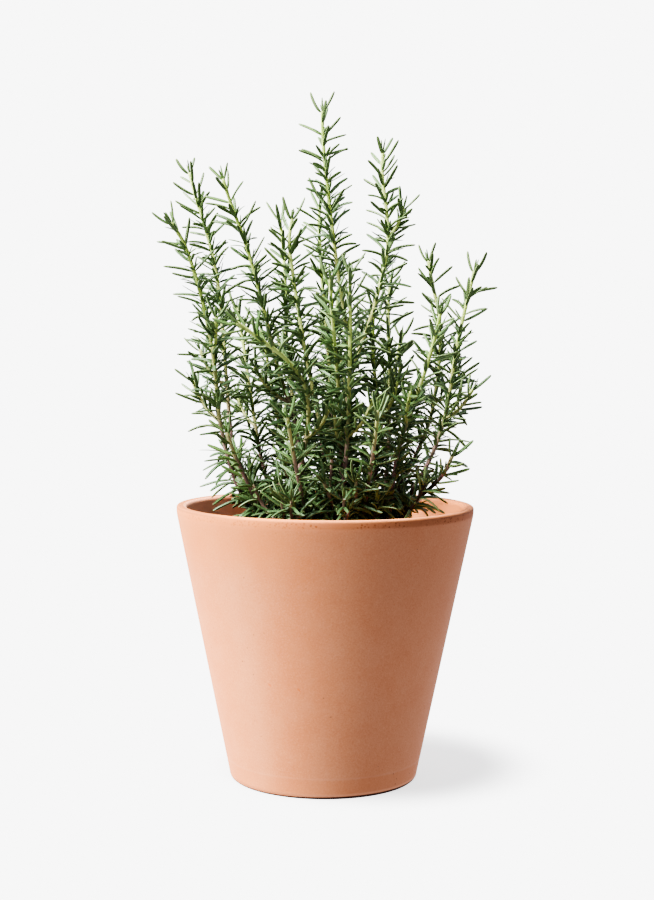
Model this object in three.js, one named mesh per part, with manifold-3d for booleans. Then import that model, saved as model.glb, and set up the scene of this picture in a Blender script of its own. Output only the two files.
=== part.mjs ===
// A rosemary bush in a plain round clay pot.
// Millimetres, +Z up, the pot's axis on Z and its foot on Z = 0; the front of the bush faces -Y.
import * as THREE from 'three';
import { mergeVertices } from 'three/addons/utils/BufferGeometryUtils.js';
import Module from 'manifold-3d';

const wasm = await Module();
wasm.setup();

// ---- Pot: a straight-sided cone with a rounded lip and a plain flat foot ----
const POT_HEIGHT = 221.5;
const POT_RIM_RADIUS = 120;
const POT_RIM_WIDEST_Z = 216.5;
const POT_WALL_FOOT_RADIUS = 75.5;
const POT_WALL = 8.8;
const POT_FLOOR = 12;
const POT_FOOT_FLAT_RADIUS = 73;
const POT_LIP_OUTER_FLAT = 117.2;
const POT_LIP_INNER_FLAT = 113;
const POT_SIDES = 48;

// ---- Soil: level round the wall, with the root ball standing proud in the middle ----
const SOIL_LEVEL = 197;
const ROOT_BALL_TOP = 210;
const ROOT_BALL_FLAT_RADIUS = 61;
const ROOT_BALL_FOOT_RADIUS = 67;
const SOIL_SIDES = 32;
const SOIL_LUMP = 0.7;

// ---- Play between pieces that touch, and clear space round those that don't ----
const PLAY = 0.32;
const SOIL_FACET_FIT = 0.2;
const SOIL_CLEAR = 4;
const TWIG_CLEAR = 1.8;
const CELL = 12;

// ---- Stems and twigs ----
const STEM_BURIED = 18;
const STEM_TIP_RADIUS = 1.1;
const STEM_TIP_BACK = 9;
const STEM_STEP = 28;
const HOLE_ABOVE_SOIL = 8;
const TWIG_RADIUS = 1.1;
const TWIG_TIP_RADIUS = 0.9;
const TWIG_BARE = 9;
const SHOOT_BUD = 2.5;
// Each length of a twig, as [share of the whole, degrees off its stem].
const TWIG_BENDS = [[0.34, 46], [0.33, 30], [0.33, 18]];
// Degrees that a twig may be turned about its stem to stand clear of the others.
const TWIG_TURNS = [0, 25, -25, 50, -50, 80, -80, 110, -110, 140, -140, 170];

// ---- Needles ----
const SEED = 20431;
const NEEDLE_WIDTH = 2.3;
const NEEDLE_THICKNESS = 1.2;
const NEEDLE_REACH = 1.25;
const NEEDLE_WIDEST_AT = 0.4;
const NEEDLE_ROOT_SUNK = 0.55;
const YOUNG_NEEDLE_LENGTH = 11;
const YOUNG_NEEDLE_WIDTH = 1.7;
const NEEDLE_LEAST_LEAN = THREE.MathUtils.degToRad(18);
const NEEDLE_LENGTH_AT_TIP = 17.5;
const NEEDLE_LENGTH_GROWN = 20;
const NEEDLE_LENGTH_OLD = 25;
const NEEDLE_LONG_BELOW_TIP = 10;
const NEEDLE_GROWN_BELOW_TIP = 34;
const NEEDLE_OLD_BELOW_TIP = 200;
const NEEDLE_GAP_AT_TIP = 8.5;
const NEEDLE_GAP_GROWN = 13.3;
// Degrees from one pair to the next, and how far a shoot's first pair may stand off left and right.
const NEEDLE_TURN = 94;
const NEEDLE_FIRST_TURN = 38;
const NEEDLE_GAP_GROWN_BELOW_TIP = 45;
// Degrees turned, degrees raised and length scale, tried in turn.
const NEEDLE_TRIES = [[0, 0, 1], [18, 0, 1], [-18, 0, 1], [0, 13, 1], [0, -13, 0.9], [34, 8, 0.9],
  [-34, 8, 0.9], [0, 22, 0.75], [28, -12, 0.75], [-28, -12, 0.75]];

// Each stem: the foot where it leaves the soil, the points that it grows through, its radius there,
// the bare length above the soil, and its twigs as [mm along the stem, degrees round it, length].
// Degrees run from the right (0) to the back (90), the left (180) and the front (270).
const STEMS = [
  {
    name: 'stem_left_front', radius: 2.1, bare: 18,
    path: [[-57, -14, 210], [-72, -22, 244], [-83, -27, 286], [-89, -34, 344], [-101, -42, 400],
      [-117, -49, 442], [-124, -52, 450]],
    twigs: [[85, 150, 40], [140, 300, 34]],
  },
  {
    name: 'stem_left_back', radius: 2.1, bare: 30,
    path: [[-54, 16, 210], [-73, 17, 252], [-81, 20, 313], [-88, 26, 391], [-96, 30, 431],
      [-108, 34, 470], [-116, 38, 499]],
    twigs: [[110, 190, 38]],
  },
  {
    name: 'stem_left_middle', radius: 2.2, bare: 22,
    path: [[-17, 0, 210], [-23, -2, 281], [-37, -5, 326], [-50, -9, 378], [-64, -12, 428],
      [-77, -15, 463], [-85, -18, 488]],
    twigs: [[95, 210, 42]],
  },
  {
    name: 'stem_front_slanting', radius: 2.6, bare: 12,
    path: [[-31, -36, 210], [-22, -38, 248], [-14, -47, 284], [-17, -59, 321], [-36, -69, 344],
      [-65, -81, 364], [-74, -86, 371]],
    twigs: [[70, 330, 34]],
  },
  {
    name: 'stem_back_left_short', radius: 1.8, bare: 24,
    path: [[-42, 34, 210], [-55, 38, 263], [-64, 50, 313], [-73, 65, 366], [-78, 72, 389]],
    twigs: [[75, 130, 38]],
  },
  {
    name: 'stem_middle_left', radius: 2.1, bare: 20,
    path: [[-7, -11, 210], [-2, -10, 248], [-5, -11, 285], [-16, -12, 341], [-27, -14, 406],
      [-30, -15, 431], [-27, -16, 458]],
    twigs: [[100, 150, 40]],
  },
  {
    name: 'stem_back_left_tall', radius: 1.9, bare: 40,
    path: [[-19, 30, 210], [-25, 37, 279], [-33, 51, 350], [-35, 63, 401], [-39, 76, 447],
      [-42, 81, 464]],
    twigs: [[120, 110, 38]],
  },
  {
    name: 'stem_tallest', radius: 2.3, bare: 36,
    path: [[22, 11, 210], [20, 11, 290], [17, 12, 359], [11, 13, 395], [2, 15, 461],
      [-4, 17, 515], [-5, 18, 547]],
    twigs: [[120, 30, 42]],
  },
  {
    name: 'stem_back_middle', radius: 1.9, bare: 44,
    path: [[6, 42, 210], [4, 45, 305], [1, 48, 350], [-4, 54, 404], [-7, 59, 459], [-5, 62, 481]],
    twigs: [[130, 70, 38]],
  },
  {
    name: 'stem_front_middle', radius: 1.9, bare: 12,
    path: [[12, -30, 210], [12, -38, 276], [9, -49, 323], [4, -64, 377], [2, -74, 408]],
    twigs: [[60, 230, 36]],
  },
  {
    name: 'stem_front_centre', radius: 2.1, bare: 12,
    path: [[10, -50, 210], [16, -53, 266], [18, -59, 329], [18, -65, 381], [17, -70, 413]],
    twigs: [[70, 340, 36]],
  },
  {
    name: 'stem_right_tall', radius: 2.2, bare: 22,
    path: [[23, -14, 210], [17, -13, 275], [19, -9, 327], [32, -6, 361], [46, -1, 414],
      [49, 2, 441], [44, 6, 483], [44, 9, 513]],
    twigs: [[105, 100, 36], [232, 330, 26]],
  },
  {
    name: 'stem_back_right', radius: 1.9, bare: 34,
    path: [[49, 38, 210], [53, 43, 286], [53, 55, 343], [52, 66, 387], [56, 75, 416]],
    twigs: [[95, 60, 36]],
  },
  {
    name: 'stem_right_middle', radius: 1.8, bare: 28,
    path: [[35, 17, 210], [43, 17, 269], [42, 18, 302], [38, 21, 346], [39, 25, 391]],
    twigs: [[80, 330, 36]],
  },
  {
    name: 'stem_right_back', radius: 1.9, bare: 30,
    path: [[54, 22, 210], [68, 29, 247], [84, 33, 281], [93, 39, 330], [94, 45, 370],
      [88, 50, 403], [83, 55, 429]],
    twigs: [[100, 20, 34]],
  },
  {
    name: 'stem_right_front', radius: 2.0, bare: 16,
    path: [[50, -31, 210], [57, -37, 268], [68, -42, 304], [80, -49, 341], [89, -58, 383]],
    twigs: [[80, 250, 34]],
  },
  {
    name: 'stem_right_outer', radius: 2.0, bare: 30,
    path: [[57, 1, 210], [71, 0, 235], [88, 2, 266], [98, 4, 302], [105, 6, 347], [116, 9, 398],
      [121, 10, 419]],
    twigs: [[90, 330, 34]],
  },
  {
    name: 'stem_right_low', radius: 1.7, bare: 14,
    path: [[52, -20, 210], [70, -27, 227], [84, -33, 237], [95, -43, 256], [102, -51, 272]],
    twigs: [],
  },
  {
    name: 'stem_rear_left', radius: 1.8, bare: 20,
    path: [[-29, 47, 210], [-38, 62, 271], [-49, 80, 329], [-59, 94, 378]],
    twigs: [[70, 60, 34]],
  },
  {
    name: 'stem_rear_middle', radius: 1.8, bare: 20,
    path: [[-4, 56, 210], [0, 72, 280], [6, 90, 348], [10, 101, 402]],
    twigs: [[75, 150, 34]],
  },
  {
    name: 'stem_rear_right', radius: 1.8, bare: 20,
    path: [[31, 47, 210], [43, 64, 265], [57, 84, 318], [66, 96, 367]],
    twigs: [[65, 40, 34]],
  },
  {
    name: 'stem_left_low', radius: 1.6, bare: 10,
    path: [[-47, -30, 210], [-60, -42, 241], [-71, -52, 266], [-79, -58, 290]],
    twigs: [],
  },
  {
    name: 'stem_front_low', radius: 1.6, bare: 10,
    path: [[-12, -47, 210], [-20, -62, 244], [-26, -78, 277], [-30, -90, 303]],
    twigs: [],
  },
  {
    name: 'stem_front_low_right', radius: 1.6, bare: 10,
    path: [[29, -44, 210], [34, -60, 249], [38, -75, 283], [40, -86, 309]],
    twigs: [],
  },
];

// ---- Numbers and vectors ----
const mix = THREE.MathUtils.lerp;
const degrees = THREE.MathUtils.degToRad;

function vector(list) {
  return new THREE.Vector3(...list);
}

function along(point, direction, distance) {
  return point.clone().addScaledVector(direction, distance);
}

function rise(value, full) {
  return Math.min(1, value / full);
}

// The same whole numbers always give the same draw between 0 and 1.
function draw(...keys) {
  let hash = SEED;
  for (const key of keys) {
    hash = Math.imul(hash ^ (key + 1), 0x9e3779b1);
    hash ^= hash >>> 15;
    hash = Math.imul(hash, 0x85ebca6b);
    hash ^= hash >>> 13;
  }
  return (hash >>> 0) / 4294967296;
}

function spread(amount, ...keys) {
  return amount * (2 * draw(...keys) - 1);
}

// ---- Solids ----
function solidOf(positions, triangles) {
  return new wasm.Manifold(new wasm.Mesh({
    numProp: 3,
    vertProperties: new Float32Array(positions),
    triVerts: new Uint32Array(triangles),
  }));
}

function merged(geometry) {
  geometry.deleteAttribute('normal');
  geometry.deleteAttribute('uv');
  return mergeVertices(geometry, 1e-3);
}

function solidOfGeometry(geometry) {
  const closed = merged(geometry);
  return solidOf(closed.attributes.position.array, closed.index.array);
}

function geometryOf(solid) {
  const mesh = solid.getMesh();
  const geometry = new THREE.BufferGeometry();
  geometry.setAttribute('position', new THREE.BufferAttribute(mesh.vertProperties, 3));
  geometry.setIndex(new THREE.BufferAttribute(mesh.triVerts, 1));
  return geometry;
}

// Skins rings of equal size, each listed anticlockwise as seen from the last one, and closes them
// on a point at the end and, where start is given, on a point at the start.
function skin(start, rings, end) {
  const sides = rings[0].length;
  const last = rings.length - 1;
  const points = [...rings.flat(), end];
  const triangles = [];
  for (let side = 0; side < sides; side += 1) {
    const next = (side + 1) % sides;
    for (let ring = 0; ring < last; ring += 1) {
      const a = ring * sides + side;
      const b = ring * sides + next;
      triangles.push(a, b, b + sides, a, b + sides, a + sides);
    }
    triangles.push(last * sides + side, last * sides + next, sides * rings.length);
    if (start) {
      triangles.push(next, side, points.length);
    } else if (side > 1) {
      triangles.push(0, side, side - 1);
    }
  }
  if (start) {
    points.push(start);
  }
  return solidOf(points.flatMap((point) => point.toArray()), triangles);
}

// ---- Shoots: a stem or a twig is a line of straight lengths with a frame carried along it ----
// Distances along a shoot start where it leaves the soil, or its parent's middle.
function makeShoot(points, start, footRadius, tipRadius) {
  const shoot = { points, footRadius, tipRadius, at: [start], tangents: [], rights: [] };
  for (let i = 1; i < points.length; i += 1) {
    shoot.at.push(shoot.at[i - 1] + points[i].distanceTo(points[i - 1]));
  }
  shoot.length = shoot.at[points.length - 1];
  let right = vector([1, 0, 0]);
  for (let i = 0; i < points.length; i += 1) {
    const before = points[Math.max(0, i - 1)];
    const after = points[Math.min(points.length - 1, i + 1)];
    const tangent = after.clone().sub(before).normalize();
    right = along(right, tangent, -right.dot(tangent)).normalize();
    shoot.tangents.push(tangent);
    shoot.rights.push(right);
  }
  return shoot;
}

function frameAt(shoot, distance) {
  let i = 0;
  while (i < shoot.at.length - 2 && shoot.at[i + 1] < distance) {
    i += 1;
  }
  const share = (distance - shoot.at[i]) / (shoot.at[i + 1] - shoot.at[i]);
  const tangent = shoot.tangents[i].clone().lerp(shoot.tangents[i + 1], share).normalize();
  const right = shoot.rights[i].clone().lerp(shoot.rights[i + 1], share);
  right.addScaledVector(tangent, -right.dot(tangent)).normalize();
  return {
    point: shoot.points[i].clone().lerp(shoot.points[i + 1], share),
    tangent,
    right,
    back: tangent.clone().cross(right),
    radius: mix(shoot.footRadius, shoot.tipRadius, Math.max(0, distance) / shoot.length),
  };
}

// The direction that leaves a shoot at an angle round it, from its right towards its back.
function outward(frame, angle) {
  return frame.right.clone().multiplyScalar(Math.cos(angle))
    .addScaledVector(frame.back, Math.sin(angle));
}

// Leans from the shoot's own direction towards out.
function leaning(frame, out, lean) {
  return frame.tangent.clone().multiplyScalar(Math.cos(lean)).addScaledVector(out, Math.sin(lean));
}

// Stems of this plant are square, and their needles spring from the flats.
const CORNERS = [45, 135, 225, 315].map(degrees);

function squareRing(frame, centre, margin) {
  return CORNERS.map((angle) => along(centre, outward(frame, angle), frame.radius + margin));
}

function shootSolid(shoot) {
  const rings = shoot.at.map((distance) => {
    const frame = frameAt(shoot, distance);
    return squareRing(frame, frame.point, 0);
  });
  const last = shoot.points.length - 1;
  return skin(null, rings, along(shoot.points[last], shoot.tangents[last], SHOOT_BUD));
}

// A stem runs straight down from its first length into the soil, and ends short of its needles' tips.
function growStem(stem) {
  const curve = new THREE.CatmullRomCurve3(stem.path.map(vector));
  const points = curve.getSpacedPoints(Math.round(curve.getLength() / STEM_STEP));
  const down = points[0].clone().sub(points[1]).normalize();
  points[0] = along(points[0], down, STEM_BURIED);
  const last = points.length - 1;
  const back = points[last - 1].clone().sub(points[last]).normalize();
  points[last] = along(points[last], back, STEM_TIP_BACK);
  return makeShoot(points, -STEM_BURIED, stem.radius, STEM_TIP_RADIUS);
}

// A twig leaves its stem at an angle and turns up beside it.
function growTwig(parent, [distance, angle, length], turn) {
  const frame = frameAt(parent, distance);
  const out = outward(frame, degrees(angle + turn));
  const points = [frame.point];
  for (const [share, lean] of TWIG_BENDS) {
    points.push(along(points[points.length - 1], leaning(frame, out, degrees(lean)), share * length));
  }
  return makeShoot(points, 0, TWIG_RADIUS, TWIG_TIP_RADIUS);
}

// ---- Clearance: straight rods stand for stems, twigs and needles, filed by the cells they cross ----
const cells = new Map();

function cellsOf(rod) {
  const reach = rod.radius + NEEDLE_REACH + PLAY;
  const low = rod.a.clone().min(rod.b).subScalar(reach).divideScalar(CELL).floor();
  const high = rod.a.clone().max(rod.b).addScalar(reach).divideScalar(CELL).floor();
  const keys = [];
  for (let x = low.x; x <= high.x; x += 1) {
    for (let y = low.y; y <= high.y; y += 1) {
      for (let z = low.z; z <= high.z; z += 1) {
        keys.push(`${x},${y},${z}`);
      }
    }
  }
  return keys;
}

function fileRod(rod) {
  for (const key of cellsOf(rod)) {
    if (!cells.has(key)) {
      cells.set(key, []);
    }
    cells.get(key).push(rod);
  }
}

// The shortest distance between the middle lines of two rods.
function rodDistance(one, two) {
  const u = one.b.clone().sub(one.a);
  const v = two.b.clone().sub(two.a);
  const w = one.a.clone().sub(two.a);
  const uv = u.dot(v);
  const slant = u.dot(u) * v.dot(v) - uv * uv;
  let s = 0;
  if (slant > 1e-9) {
    s = THREE.MathUtils.clamp((uv * v.dot(w) - v.dot(v) * u.dot(w)) / slant, 0, 1);
  }
  const t = THREE.MathUtils.clamp((uv * s + v.dot(w)) / v.dot(v), 0, 1);
  s = THREE.MathUtils.clamp((uv * t - u.dot(w)) / u.dot(u), 0, 1);
  return along(one.a, u, s).distanceTo(along(two.a, v, t));
}

// Rods that spring from one spot may meet there.
function springTogether(rod, other) {
  if (rod.stem !== other.stem) {
    return false;
  }
  return rod.spot === other.spot || rod.spot === other.shoot || rod.shoot === other.spot;
}

function isClear(rod, margin) {
  for (const key of cellsOf(rod)) {
    for (const other of cells.get(key) ?? []) {
      const near = rod.radius + other.radius + margin;
      if (!springTogether(rod, other) && rodDistance(rod, other) < near) {
        return false;
      }
    }
  }
  return true;
}

function shootRods(shoot, tags) {
  return shoot.points.slice(1).map((point, i) => {
    const { radius } = frameAt(shoot, shoot.at[i]);
    return { a: shoot.points[i], b: point, radius, ...tags };
  });
}

// Whether a point of a needle stands clear of the pot's lip, the soil and the root ball.
function isAbovePot(point) {
  const radius = Math.hypot(point.x, point.y);
  if (radius < ROOT_BALL_FOOT_RADIUS + NEEDLE_REACH) {
    return point.z > ROOT_BALL_TOP + SOIL_CLEAR;
  }
  if (radius > POT_LIP_INNER_FLAT - SOIL_CLEAR) {
    return point.z > POT_HEIGHT + SOIL_CLEAR;
  }
  return point.z > SOIL_LEVEL + SOIL_CLEAR;
}

// ---- Needles ----
// A needle springs from inside its shoot, leans off it by lean, and bows further by bow past its
// widest place.
function makeNeedle(shoot, { distance, angle, lean, bow, length }) {
  const frame = frameAt(shoot, distance);
  const out = outward(frame, angle);
  const first = leaning(frame, out, lean);
  const middle = along(frame.point, first, frame.radius + length * NEEDLE_WIDEST_AT);
  return {
    root: along(frame.point, first, (-NEEDLE_ROOT_SUNK * frame.radius) / Math.sin(lean)),
    middle,
    tip: along(middle, leaning(frame, out, lean + bow), length * (1 - NEEDLE_WIDEST_AT)),
    first,
    side: frame.tangent.clone().cross(out),
    width: length < YOUNG_NEEDLE_LENGTH ? YOUNG_NEEDLE_WIDTH : NEEDLE_WIDTH,
  };
}

// Flat above and keeled below.
function needleSolid({ root, middle, tip, first, side, width }) {
  const up = first.clone().cross(side);
  const edge = along(middle, up, NEEDLE_THICKNESS / 3);
  return skin(root, [[
    along(edge, side, width / 2),
    along(edge, side, -width / 2),
    along(middle, up, (-2 * NEEDLE_THICKNESS) / 3),
  ]], tip);
}

function needleRods({ root, middle, tip }, tags) {
  const clearOfRoot = root.clone().lerp(middle, 0.4);
  return [
    { a: clearOfRoot, b: middle, radius: NEEDLE_REACH, ...tags },
    { a: middle, b: tip, radius: NEEDLE_REACH, ...tags },
  ];
}

// A needle whose place is taken is turned, raised or shortened a little until it is clear.
function placeNeedle(shoot, tags, wanted) {
  for (const [turn, raise, scale] of NEEDLE_TRIES) {
    const needle = makeNeedle(shoot, {
      ...wanted,
      angle: wanted.angle + degrees(turn),
      lean: Math.max(NEEDLE_LEAST_LEAN, wanted.lean - degrees(raise)),
      length: wanted.length * scale,
    });
    const rods = needleRods(needle, tags);
    const standsFree = isAbovePot(needle.middle) && isAbovePot(needle.tip);
    if (standsFree && rods.every((rod) => isClear(rod, PLAY))) {
      rods.forEach(fileRod);
      return [needle];
    }
  }
  return [];
}

// Opposite pairs, each a quarter turn on from the last, close and short at the tip of the shoot and
// wide and long below. The lower they are, the further they lean out and bow down.
function needlesOf(shoot, stem, shootNumber, bareLength) {
  const needles = [];
  const first = spread(NEEDLE_FIRST_TURN, stem, shootNumber, 900);
  let below = 1;
  for (let pair = 0; below < shoot.length - bareLength; pair += 1) {
    const long = rise(below, NEEDLE_LONG_BELOW_TIP);
    const grown = rise(below, NEEDLE_GROWN_BELOW_TIP);
    const old = rise(below, NEEDLE_OLD_BELOW_TIP);
    const young = mix(NEEDLE_LENGTH_AT_TIP, NEEDLE_LENGTH_GROWN, long);
    const tags = { stem, shoot: shootNumber, spot: 1000 * (shootNumber + 1) + pair };
    for (const half of [0, 1]) {
      const keys = [stem, shootNumber, pair, half];
      const wanted = {
        distance: shoot.length - below,
        angle: degrees(first + NEEDLE_TURN * pair + 180 * half + spread(20, ...keys, 1)),
        length: mix(young, NEEDLE_LENGTH_OLD, old) * (1 + spread(0.19, ...keys, 2)),
        lean: degrees(mix(30, 44, long) + 28 * old + spread(mix(7, 15, grown), ...keys, 3)),
        bow: degrees(mix(-8, 4, grown) + 18 * old + spread(13, ...keys, 4)),
      };
      needles.push(...placeNeedle(shoot, tags, wanted));
    }
    below += mix(NEEDLE_GAP_AT_TIP, NEEDLE_GAP_GROWN, rise(below, NEEDLE_GAP_GROWN_BELOW_TIP));
  }
  return needles;
}

// ---- The bush: all stems first, then the twigs, then the needles round them ----
const plants = STEMS.map((stem, number) => {
  const main = growStem(stem);
  shootRods(main, { stem: number, shoot: 0, spot: 0 }).forEach(fileRod);
  return { ...stem, number, shoots: [main] };
});

for (const plant of plants) {
  for (const twig of plant.twigs) {
    const shootNumber = plant.shoots.length;
    const tags = { stem: plant.number, shoot: shootNumber, spot: 0 };
    const grown = TWIG_TURNS.map((turn) => growTwig(plant.shoots[0], twig, turn));
    const free = grown.find((shoot) => (
      shootRods(shoot, tags).every((rod) => isClear(rod, TWIG_CLEAR))));
    if (free) {
      shootRods(free, tags).forEach(fileRod);
      plant.shoots.push(free);
    }
  }
}

for (const plant of plants) {
  plant.needles = plant.shoots.flatMap((shoot, shootNumber) => (
    needlesOf(shoot, plant.number, shootNumber, shootNumber === 0 ? plant.bare : TWIG_BARE)));
}

function plantGeometry(plant) {
  const parts = [...plant.shoots.map(shootSolid), ...plant.needles.map(needleSolid)];
  return geometryOf(parts.reduce((whole, part) => whole.add(part)));
}

// ---- Pot and soil ----
function outerRadius(z) {
  return mix(POT_WALL_FOOT_RADIUS, POT_RIM_RADIUS, z / POT_RIM_WIDEST_Z);
}

function innerRadius(z) {
  return outerRadius(z) - POT_WALL;
}

// Turns a profile of [radius, height] about the pot's axis.
function lathe(profile, sides) {
  const points = profile.map(([radius, z]) => new THREE.Vector2(radius, z));
  return new THREE.LatheGeometry(points, sides).rotateX(Math.PI / 2);
}

function potGeometry() {
  return geometryOf(solidOfGeometry(lathe([
    [0, 0],
    [POT_FOOT_FLAT_RADIUS, 0],
    [outerRadius(1.4) - 0.8, 1.4],
    [outerRadius(4.5), 4.5],
    [POT_RIM_RADIUS, POT_RIM_WIDEST_Z],
    [POT_RIM_RADIUS - 0.9, POT_HEIGHT - 2],
    [POT_LIP_OUTER_FLAT, POT_HEIGHT],
    [POT_LIP_INNER_FLAT, POT_HEIGHT],
    [innerRadius(POT_HEIGHT - 1.6), POT_HEIGHT - 1.6],
    [innerRadius(POT_FLOOR + 6), POT_FLOOR + 6],
    [innerRadius(POT_FLOOR) - 8, POT_FLOOR],
    [0, POT_FLOOR],
  ], POT_SIDES)));
}

// The plain hole that a stem's foot stands in, a little wider and deeper than the foot.
function holeSolid(shoot) {
  const frame = frameAt(shoot, -STEM_BURIED);
  const rings = [-PLAY, STEM_BURIED + HOLE_ABOVE_SOIL].map((distance) => (
    squareRing(frame, along(frame.point, frame.tangent, distance), PLAY * Math.SQRT2)));
  return skin(null, rings, along(rings[1][0], rings[1][2].clone().sub(rings[1][0]), 0.5));
}

function lumpAt(x, y) {
  return SOIL_LUMP * (Math.sin(x / 11 + 1) * Math.cos(y / 9) + Math.sin((x + 2 * y) / 17));
}

function soilGeometry() {
  const fit = PLAY + SOIL_FACET_FIT;
  const geometry = lathe([
    [0, POT_FLOOR + PLAY],
    [innerRadius(POT_FLOOR) - 8 - fit, POT_FLOOR + PLAY],
    [innerRadius(POT_FLOOR + 6) - fit, POT_FLOOR + 6 + PLAY],
    [innerRadius(SOIL_LEVEL) - fit, SOIL_LEVEL],
    [mix(ROOT_BALL_FOOT_RADIUS, innerRadius(SOIL_LEVEL), 0.5), SOIL_LEVEL + 1],
    [ROOT_BALL_FOOT_RADIUS, SOIL_LEVEL + 2],
    [ROOT_BALL_FLAT_RADIUS + 2.5, ROOT_BALL_TOP - 3],
    [ROOT_BALL_FLAT_RADIUS - 3, ROOT_BALL_TOP],
    [32, ROOT_BALL_TOP],
    [0, ROOT_BALL_TOP],
  ], SOIL_SIDES);
  const { position } = geometry.attributes;
  for (let i = 0; i < position.count; i += 1) {
    if (position.getZ(i) > SOIL_LEVEL) {
      position.setZ(i, position.getZ(i) + lumpAt(position.getX(i), position.getY(i)));
    }
  }
  const holes = plants.map((plant) => holeSolid(plant.shoots[0]));
  return geometryOf(holes.reduce((soil, hole) => soil.subtract(hole), solidOfGeometry(geometry)));
}

// ---- Assembly ----
function piece(name, geometry, color, roughness) {
  const material = new THREE.MeshStandardMaterial({ color, roughness, metalness: 0 });
  const mesh = new THREE.Mesh(geometry, material);
  mesh.name = name;
  return mesh;
}

const rosemary = new THREE.Group();
rosemary.add(piece('pot', potGeometry(), 0xcd9476, 0.85));
rosemary.add(piece('soil', soilGeometry(), 0x3a2c24, 0.95));

const bush = new THREE.Group();
for (const plant of plants) {
  bush.add(piece(plant.name, plantGeometry(plant), 0x587d45, 0.65));
}
rosemary.add(bush);

export default rosemary;
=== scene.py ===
"""A rosemary bush in a plain round clay pot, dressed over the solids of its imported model.

Everything is worked out in millimetres in the model's own frame (+Z up the pot's axis, the front
of the bush towards -Y) and goes into Blender in metres.
"""
import bisect
import itertools
import math
from math import radians

import bpy
import numpy as np
from mathutils import Matrix, Vector, noise


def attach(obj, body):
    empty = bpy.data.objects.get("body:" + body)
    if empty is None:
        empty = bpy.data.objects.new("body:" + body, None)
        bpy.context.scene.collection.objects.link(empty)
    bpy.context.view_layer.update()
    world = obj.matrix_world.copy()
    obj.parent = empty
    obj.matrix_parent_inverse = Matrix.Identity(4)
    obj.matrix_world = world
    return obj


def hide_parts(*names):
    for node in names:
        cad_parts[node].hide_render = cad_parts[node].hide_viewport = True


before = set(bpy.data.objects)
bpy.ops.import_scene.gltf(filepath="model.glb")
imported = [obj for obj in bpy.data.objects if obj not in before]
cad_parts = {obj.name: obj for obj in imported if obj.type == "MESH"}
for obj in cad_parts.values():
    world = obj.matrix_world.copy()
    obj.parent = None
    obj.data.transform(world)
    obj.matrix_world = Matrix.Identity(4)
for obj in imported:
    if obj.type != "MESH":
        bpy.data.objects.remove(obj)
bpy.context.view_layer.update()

MM = 0.001

# ---- Camera, fitted to the pot's outline in the picture of 654 x 900 ----
CAMERA_PLACE = (1.1, -1247.7, 347.7)
CAMERA_PITCH = radians(3.763)
CAMERA_ROLL = radians(0.429)
CAMERA_LENS = 61.89
CAMERA_SENSOR = 36.0

# ---- Pot and soil, as the solids have them ----
POT_HEIGHT = 221.5
POT_RIM_RADIUS = 120.0
POT_RIM_WIDEST_Z = 216.5
POT_WALL_FOOT_RADIUS = 75.5
POT_SLOPE = (POT_RIM_RADIUS - POT_WALL_FOOT_RADIUS) / POT_RIM_WIDEST_Z
POT_WALL = 8.8
POT_FLOOR = 12.0
POT_FOOT_FLAT_RADIUS = 73.0
SOIL_LEVEL = 197.0
ROOT_BALL_TOP = 210.0
ROOT_BALL_FLAT_RADIUS = 61.0
ROOT_BALL_FOOT_RADIUS = 67.0

# ---- Stems, twigs and needles, as the solids have them ----
PLAY = 0.32
TWIG_CLEAR = 1.8
CELL = 12.0
STEM_BURIED = 18.0
STEM_TIP_RADIUS = 1.1
STEM_TIP_BACK = 9.0
STEM_STEP = 28.0
TWIG_RADIUS = 1.1
TWIG_TIP_RADIUS = 0.9
TWIG_BARE = 9.0
TWIG_BENDS = ((0.34, 46), (0.33, 30), (0.33, 18))
TWIG_TURNS = (0, 25, -25, 50, -50, 80, -80, 110, -110, 140, -140, 170)
SOIL_CLEAR = 4.0
POT_LIP_INNER_FLAT = 113.0

SEED = 20431
NEEDLE_WIDTH = 2.3
NEEDLE_REACH = 1.25
NEEDLE_WIDEST_AT = 0.4
YOUNG_NEEDLE_LENGTH = 11.0
YOUNG_NEEDLE_WIDTH = 1.7
NEEDLE_LEAST_LEAN = radians(18)
NEEDLE_LENGTH_AT_TIP = 17.5
NEEDLE_LENGTH_GROWN = 20.0
NEEDLE_LENGTH_OLD = 25.0
NEEDLE_LONG_BELOW_TIP = 10.0
NEEDLE_GROWN_BELOW_TIP = 34.0
NEEDLE_OLD_BELOW_TIP = 200.0
NEEDLE_GAP_AT_TIP = 8.5
NEEDLE_GAP_GROWN = 13.3
NEEDLE_TURN = 94.0
NEEDLE_FIRST_TURN = 38.0
NEEDLE_GAP_GROWN_BELOW_TIP = 45.0
NEEDLE_TRIES = ((0, 0, 1), (18, 0, 1), (-18, 0, 1), (0, 13, 1), (0, -13, 0.9), (34, 8, 0.9),
                (-34, 8, 0.9), (0, 22, 0.75), (28, -12, 0.75), (-28, -12, 0.75))

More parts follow.
